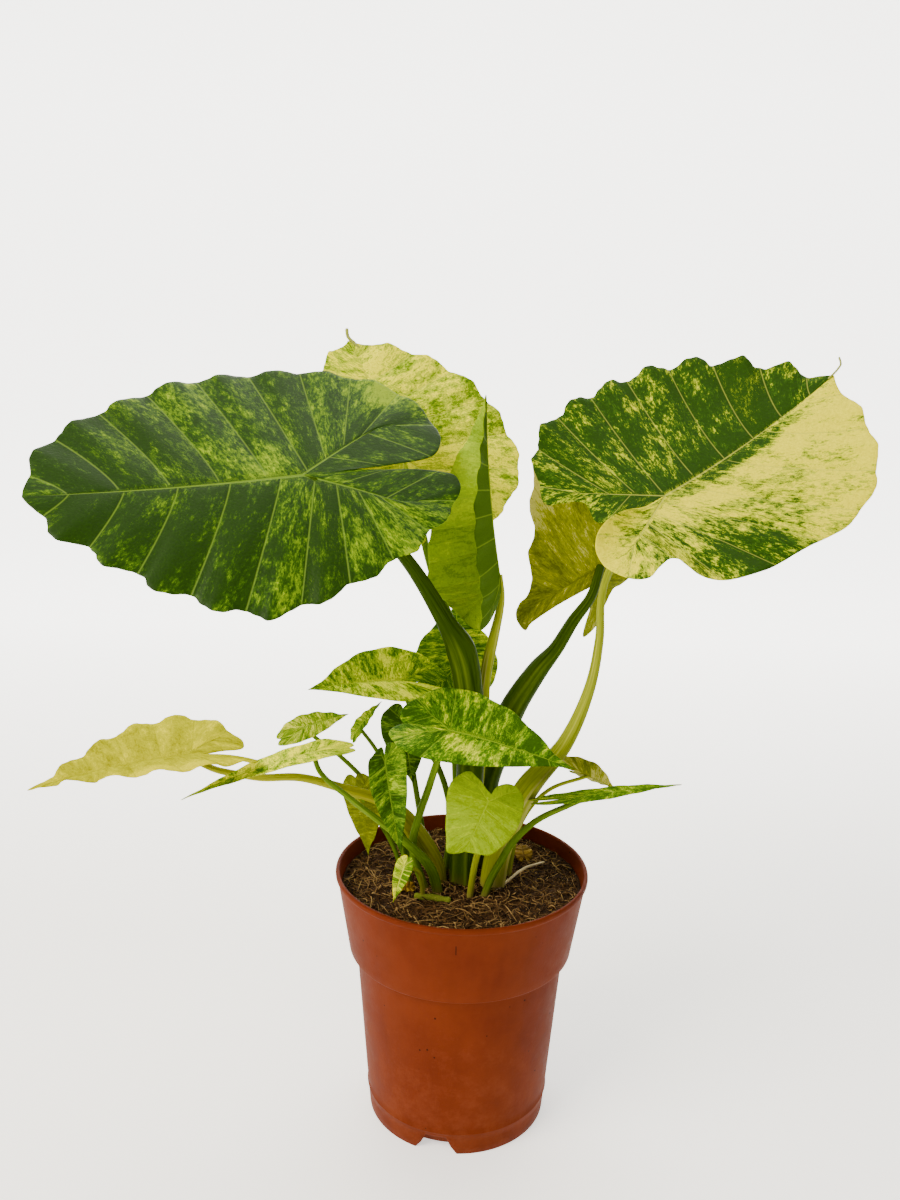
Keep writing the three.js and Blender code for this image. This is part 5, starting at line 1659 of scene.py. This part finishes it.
        self.add("drooping_leaf", Leaf.SOFT, Stem.GREEN, (-27, 12), ((-36, 4, 262), (-43, -6, 310),
                 (-47, -15, 336)), (2.4, 2.4, 2.4, 2.2, 2), junction=(-47, -22, 349),
                 tip=(-40, -32, 303), faces=(-0.3, -0.75, 0.5), half=20, lobe=17, arch=25, fold=15,
                 roll=0, paleness=(0.36, 0.4))

    def scraps(self) -> list[Blade]:
        """Returns the two scraps of dried leaf on the soil.

        Returns:
            The left scrap and the right one.
        """
        common = {"faces": (0, -0.5, 1), "arch": 20, "fold": 10, "roll": 20, "paleness": 0.5, "curl": 0.8}
        return [Blade("dry_leaf_left", Leaf.DRY, junction=(-42, -26, 210), tip=(-54, -29, 211), half=5,
                      lobe=5, seed=31, **common),
                Blade("dry_leaf_right", Leaf.DRY, junction=(54, 40, 209.8), tip=(52, 56, 212.8), half=(9, 8),
                      lobe=7, seed=32, **common)]

    def make(self) -> None:
        """Builds every blade, stalk and scrap and dresses them."""
        self.add_large_leaves()
        self.add_small_leaves()
        skins = {finish: finish.value.make() for finish in (*Leaf, *Stem)}
        for blade, stalk in self.leaves:
            settle(blade.make(), skins[blade.finish], blade.finish.value.slot, f"{blade.name}_blade")
            settle(stalk.make(), skins[stalk.stem], "stalk", f"{blade.name}_petiole")
        for scrap in self.scraps():
            settle(scrap.make(), skins[scrap.finish], scrap.finish.value.slot, scrap.name)


@dataclass
class Studio:
    """A pale floor that turns up into a backdrop, three soft lights and the camera.

    The camera's place and turn were worked out from the pot's ellipses and the focal length
    from the plant's spread; they are for an image of 900 by 1200.
    """

    eye: Point = (0, -840, 640)
    yaw: float = -1.0
    pitch: float = 13.0
    roll: float = 1.24
    focal_pixels: float = 1090
    image_height: float = 1200
    surround: float = 0.42
    # the middle of the plant in metres, then each light's name, its place and width in metres,
    # its power in watts and its colour
    AIM = (0, 0, 0.35)
    LIGHTS = (("key", (-1.7, -1.5, 2.0), 1.6, 134, "fff1de"), ("fill", (1.9, -1.5, 1.3), 1.8, 5, "fff6ea"),
              ("top", (0.1, 0.6, 2.5), 1.8, 40, "fff8ee"))
    # the floor, in mm: half its width, where it begins and turns up, the arc's radius and the rise
    HALF_WIDTH = 4000
    FLOOR_START = -1500
    FLOOR_END = 2000.0
    ARC_RADIUS = 1500.0
    RISE = 2500

    def make_camera(self) -> None:
        """Makes the camera: it looks along yaw and pitch and is turned by roll about that line."""
        yaw, pitch, roll = (math.radians(v) for v in (self.yaw, self.pitch, self.roll))
        ahead = Vector((math.sin(yaw) * math.cos(pitch), math.cos(yaw) * math.cos(pitch), -math.sin(pitch)))
        level = ahead.cross(Vector((0, 0, 1))).normalized()
        upright = level.cross(ahead)
        right = level * math.cos(roll) + upright * math.sin(roll)
        up = upright * math.cos(roll) - level * math.sin(roll)
        data = bpy.data.cameras.new("camera")
        data.sensor_fit = "VERTICAL"
        data.sensor_height = 36
        data.lens = self.focal_pixels / self.image_height * data.sensor_height
        data.clip_start = 0.01
        camera = bpy.data.objects.new("camera", data)
        turned = Matrix((right, up, -ahead)).transposed().to_4x4()
        camera.matrix_world = Matrix.Translation(Vector(self.eye) * MM) @ turned
        bpy.context.scene.collection.objects.link(camera)
        bpy.context.scene.camera = camera

    def make_light(self, name: str, place: Point, size: float, power: float, colour: str) -> None:
        """Makes a square soft light that looks at the middle of the plant.

        Args:
            name: the light's name.
            place: where it hangs, in metres.
            size: its width in metres.
            power: its power in watts.
            colour: its sRGB hex colour.
        """
        data = bpy.data.lights.new(name, "AREA")
        data.shape = "SQUARE"
        data.size = size
        data.energy = power
        data.color = linear(colour)[:3]
        light = bpy.data.objects.new(name, data)
        light.location = place
        light.rotation_euler = (Vector(self.AIM) - Vector(place)).to_track_quat("-Z", "Y").to_euler()
        bpy.context.scene.collection.objects.link(light)

    def make_floor(self) -> None:
        """Makes the floor: flat near the pot, then a quarter of a circle, then straight up."""
        x = np.linspace(-self.HALF_WIDTH, self.HALF_WIDTH, 9)
        quarter = self.ARC_RADIUS * math.pi / 2
        path = np.linspace(self.FLOOR_START, self.FLOOR_END + quarter + self.RISE, 60)
        beyond = path - self.FLOOR_END
        bent = np.clip(beyond / self.ARC_RADIUS, 0, math.pi / 2)
        y = np.where(beyond < 0, path, self.FLOOR_END + self.ARC_RADIUS * np.sin(bent))
        z = self.ARC_RADIUS * (1 - np.cos(bent)) + np.maximum(beyond - quarter, 0)
        points = np.stack(np.broadcast_arrays(x[None, :], y[:, None], z[:, None]), -1).reshape(-1, 3)
        floor = make_piece("floor", points, [grid_faces(len(path), len(x))], {})
        floor.data.materials.append(PaperFinish().make())

    def make(self) -> None:
        """Makes the camera, the lights, the soft surround and the floor."""
        self.make_camera()
        for light in self.LIGHTS:
            self.make_light(*light)
        world = bpy.data.worlds.new("studio")
        world.use_nodes = True
        background = world.node_tree.nodes["Background"]
        background.inputs[0].default_value = linear("fffaf2")
        background.inputs[1].default_value = self.surround
        bpy.context.scene.world = world
        self.make_floor()


def main() -> None:
    """Builds the studio, the pot, the soil and the plant."""
    logging.basicConfig(level=logging.INFO, format="%(name)s %(message)s")
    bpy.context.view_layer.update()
    Studio().make()
    pot = Pot()
    settle(pot.make(), PotFinish().make(), "pot", "pot")
    soil = Soil(pot)
    mix = LitterFinish("coir_and_peat", ((0.05, "1a110a"), (0.3, "372512"), (0.6, "674b2a"),
                                         (0.95, "b4935c"))).make()
    settle(soil.make_plug(), mix, "soil", "soil")
    settle(soil.make_fibres(), mix, "soil")
    settle(soil.make_crumbs(), mix, "soil")
    Plant().make()
    dead = LitterFinish("dried_root", ((0.1, "5c4526"), (0.5, "a08a62"), (0.9, "d6c79f"))).make()
    cut = LitterFinish("cut_green_stalk", ((0.1, "3a4410"), (0.5, "6c7824"), (0.9, "98a048"))).make()
    root = Twig("root", ((24, -27, 206), (38, -10, 210), (54, 14, 210.5), (72, 34, 206.5)), 1.1, 0.75)
    stub = Twig("cut_stalk", ((-38, -36, 208), (-24, -38, 208.5), (-8, -41, 207.5)), 2.6, 0.5)
    settle(root.make(), dead, "root", root.name)
    settle(stub.make(), cut, "root", stub.name)
    right_tip = Twig("right_leaf_tip", ((290, 78, 622), (296, 80, 628), (300, 81, 634), (298, 81, 640)),
                     0.8, 0.85)
    back_tip = Twig("back_leaf_tip", ((-99, 116, 638), (-104, 117, 643), (-109, 118, 648), (-110, 118, 655)),
                    1.4, 0.95)
    for tip in (right_tip, back_tip):
        settle(tip.make(), cut, "cream_leaf")


if __name__ == "__main__":
    main()
